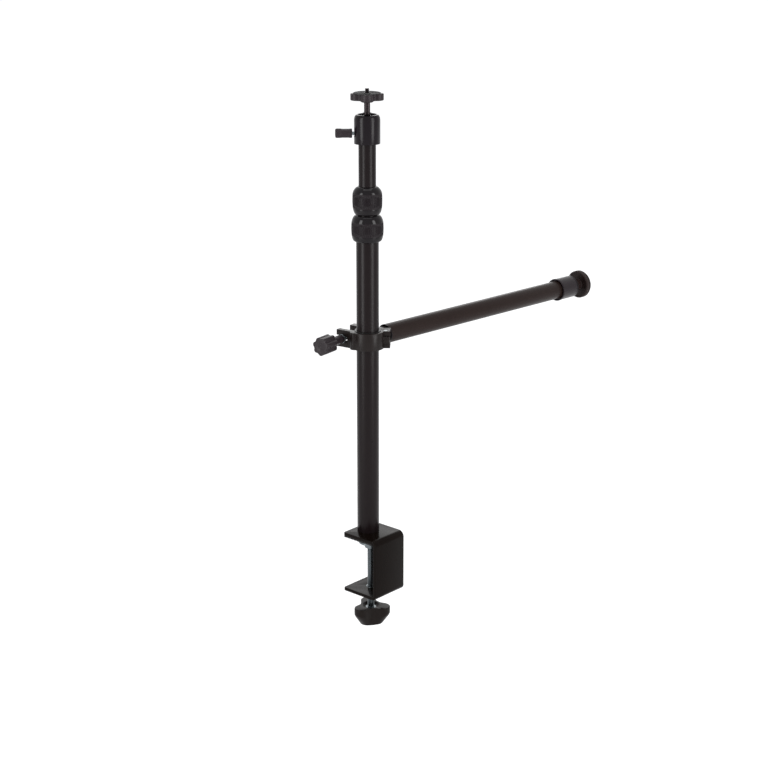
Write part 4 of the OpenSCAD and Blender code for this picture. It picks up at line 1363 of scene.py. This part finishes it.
@dataclass
class Softbox:
    """A large soft lamp that faces a point."""

    name: str
    place: tuple[float, float, float]
    width: float
    height: float
    watts: float
    level: bool = True

    def build(self, target: Vector) -> None:
        """Adds the lamp.

        Args:
            target: the point that it faces, in metres.
        """
        light = bpy.data.lights.new(self.name, "AREA")
        light.shape = "RECTANGLE"
        light.size = self.width
        light.size_y = self.height
        light.energy = self.watts
        lamp = new_object(self.name, light)
        lamp.location = self.place
        lamp.rotation_euler = (target - Vector(self.place)).to_track_quat("-Z", "Y").to_euler()


@dataclass
class Studio:
    """The pale floor, the soft light and the camera."""

    camera_place: tuple[float, float, float] = (-1.7990, -1.6423, 0.9884)
    camera_heading: tuple[float, float, float] = (0.7115, 0.6372, -0.2962)
    lens: float = 83.0
    sensor: float = 36.0
    nearest_seen: float = 0.05
    # The knob sinks by the clamp's travel, and the floor stays clear of it
    floor_gap: float = 0.061
    floor_half: float = 30.0
    # The floor's own light grows from one strength to the other between two distances
    floor_glow: float = 0.3
    floor_glow_far: float = 0.8
    near: float = 0.5
    far: float = 2.2
    ambient: str = "#8C8D8F"
    softboxes: tuple[Softbox, ...] = (
        Softbox("left_softbox", (-1.38, 0.21, 0.7), 0.5, 1.6, 20.0),
        Softbox("right_softbox", (0.08, -1.4, 0.7), 0.5, 1.6, 20.0),
        Softbox("back_softbox", (1.15, 1.03, 1.2), 0.9, 1.6, 7.0),
        Softbox("top_softbox", (0.1, 0.1, 2.7), 2.0, 2.0, 24.0, level=False),
    )

    def white_where_seen(self, tree: bpy.types.NodeTree) -> bpy.types.NodeSocket:
        """Adds the nodes that tell the rays that have to see white.

        Args:
            tree: the node tree that gets them.

        Returns:
            A value that is 1 for camera, glossy and transmission rays.
        """
        ray = add_node(tree, "ShaderNodeLightPath").outputs
        seen = ray["Is Camera Ray"]
        for other in ("Is Glossy Ray", "Is Transmission Ray"):
            both = {0: seen, 1: ray[other]}
            seen = add_node(tree, "ShaderNodeMath", None, both, operation="MAXIMUM").outputs[0]
        return seen

    def world(self) -> None:
        """Sets a soft grey surround that looks white where it is seen."""
        world = bpy.data.worlds.new("studio_surround")
        tree = empty_tree(world)
        seen = self.white_where_seen(tree)
        ambient = add_node(tree, "ShaderNodeBackground", {"Color": linear(self.ambient), "Strength": 1.0})
        white = add_node(tree, "ShaderNodeBackground", {"Color": linear("#FFFFFF"), "Strength": 1.0})
        either = {0: seen, 1: ambient.outputs[0], 2: white.outputs[0]}
        mix = add_node(tree, "ShaderNodeMixShader", None, either)
        add_node(tree, "ShaderNodeOutputWorld", None, {"Surface": mix.outputs[0]})
        bpy.context.scene.world = world

    def floor(self, low: Vector) -> None:
        """Lays a plain pale floor under the object.

        Args:
            low: the object's lowest corner in metres.
        """
        material = bpy.data.materials.new("pale_floor")
        tree = empty_tree(material)
        seen = self.white_where_seen(tree)
        matt = add_node(tree, "ShaderNodeBsdfDiffuse", {"Color": linear("#F2F2F2")})
        place = add_node(tree, "ShaderNodeTexCoord").outputs["Object"]
        away = add_node(
            tree, "ShaderNodeVectorMath", None, {0: place}, operation="LENGTH"
        ).outputs["Value"]
        level = add_node(
            tree,
            "ShaderNodeMapRange",
            {
                "From Min": self.near,
                "From Max": self.far,
                "To Min": self.floor_glow,
                "To Max": self.floor_glow_far,
            },
            {"Value": away},
        ).outputs["Result"]
        faint = add_node(
            tree, "ShaderNodeMath", None, {0: seen, 1: level}, operation="MULTIPLY"
        ).outputs["Value"]
        glow = add_node(tree, "ShaderNodeEmission", {"Color": linear("#FFFFFF")}, {"Strength": faint})
        both = add_node(tree, "ShaderNodeAddShader", None, {0: matt.outputs[0], 1: glow.outputs[0]})
        add_node(tree, "ShaderNodeOutputMaterial", None, {"Surface": both.outputs[0]})
        plate = bmesh.new()
        bmesh.ops.create_grid(plate, x_segments=1, y_segments=1, size=self.floor_half)
        bmesh.ops.translate(plate, verts=plate.verts, vec=(0, 0, low.z - self.floor_gap))
        mesh = bpy.data.meshes.new("studio_floor")
        plate.to_mesh(mesh)
        plate.free()
        mesh.materials.append(material)
        new_object("studio_floor", mesh)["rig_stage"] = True

    def camera(self) -> None:
        """Stands the camera where the object looks as it does in the picture."""
        data = bpy.data.cameras.new("camera")
        data.lens = self.lens
        data.sensor_width = self.sensor
        data.clip_start = self.nearest_seen
        camera = new_object("camera", data)
        camera.location = self.camera_place
        camera.rotation_euler = Vector(self.camera_heading).to_track_quat("-Z", "Y").to_euler()
        bpy.context.scene.camera = camera

    def build(self, low: Vector, high: Vector) -> None:
        """Builds floor, surround, lamps and camera.

        Args:
            low: the object's lowest corner in metres.
            high: its highest corner.
        """
        self.world()
        self.floor(low)
        for softbox in self.softboxes:
            softbox.build(Vector((0.0, 0.0, softbox.place[2] if softbox.level else high.z / 2)))
        self.camera()
        bpy.context.scene.view_settings.view_transform = "Standard"


def main() -> None:
    """Builds the sub-assemblies in order and keeps their size."""
    logging.basicConfig(level=logging.INFO, format="%(message)s")
    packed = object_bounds()
    for assembly in (Bracket(), ClampScrew(), Column(), BallHead(), Collar(), Arm()):
        LOG.info("building %s", type(assembly).__name__)
        assembly.build()
    Studio().build(*packed)


if __name__ == "__main__":
    main()
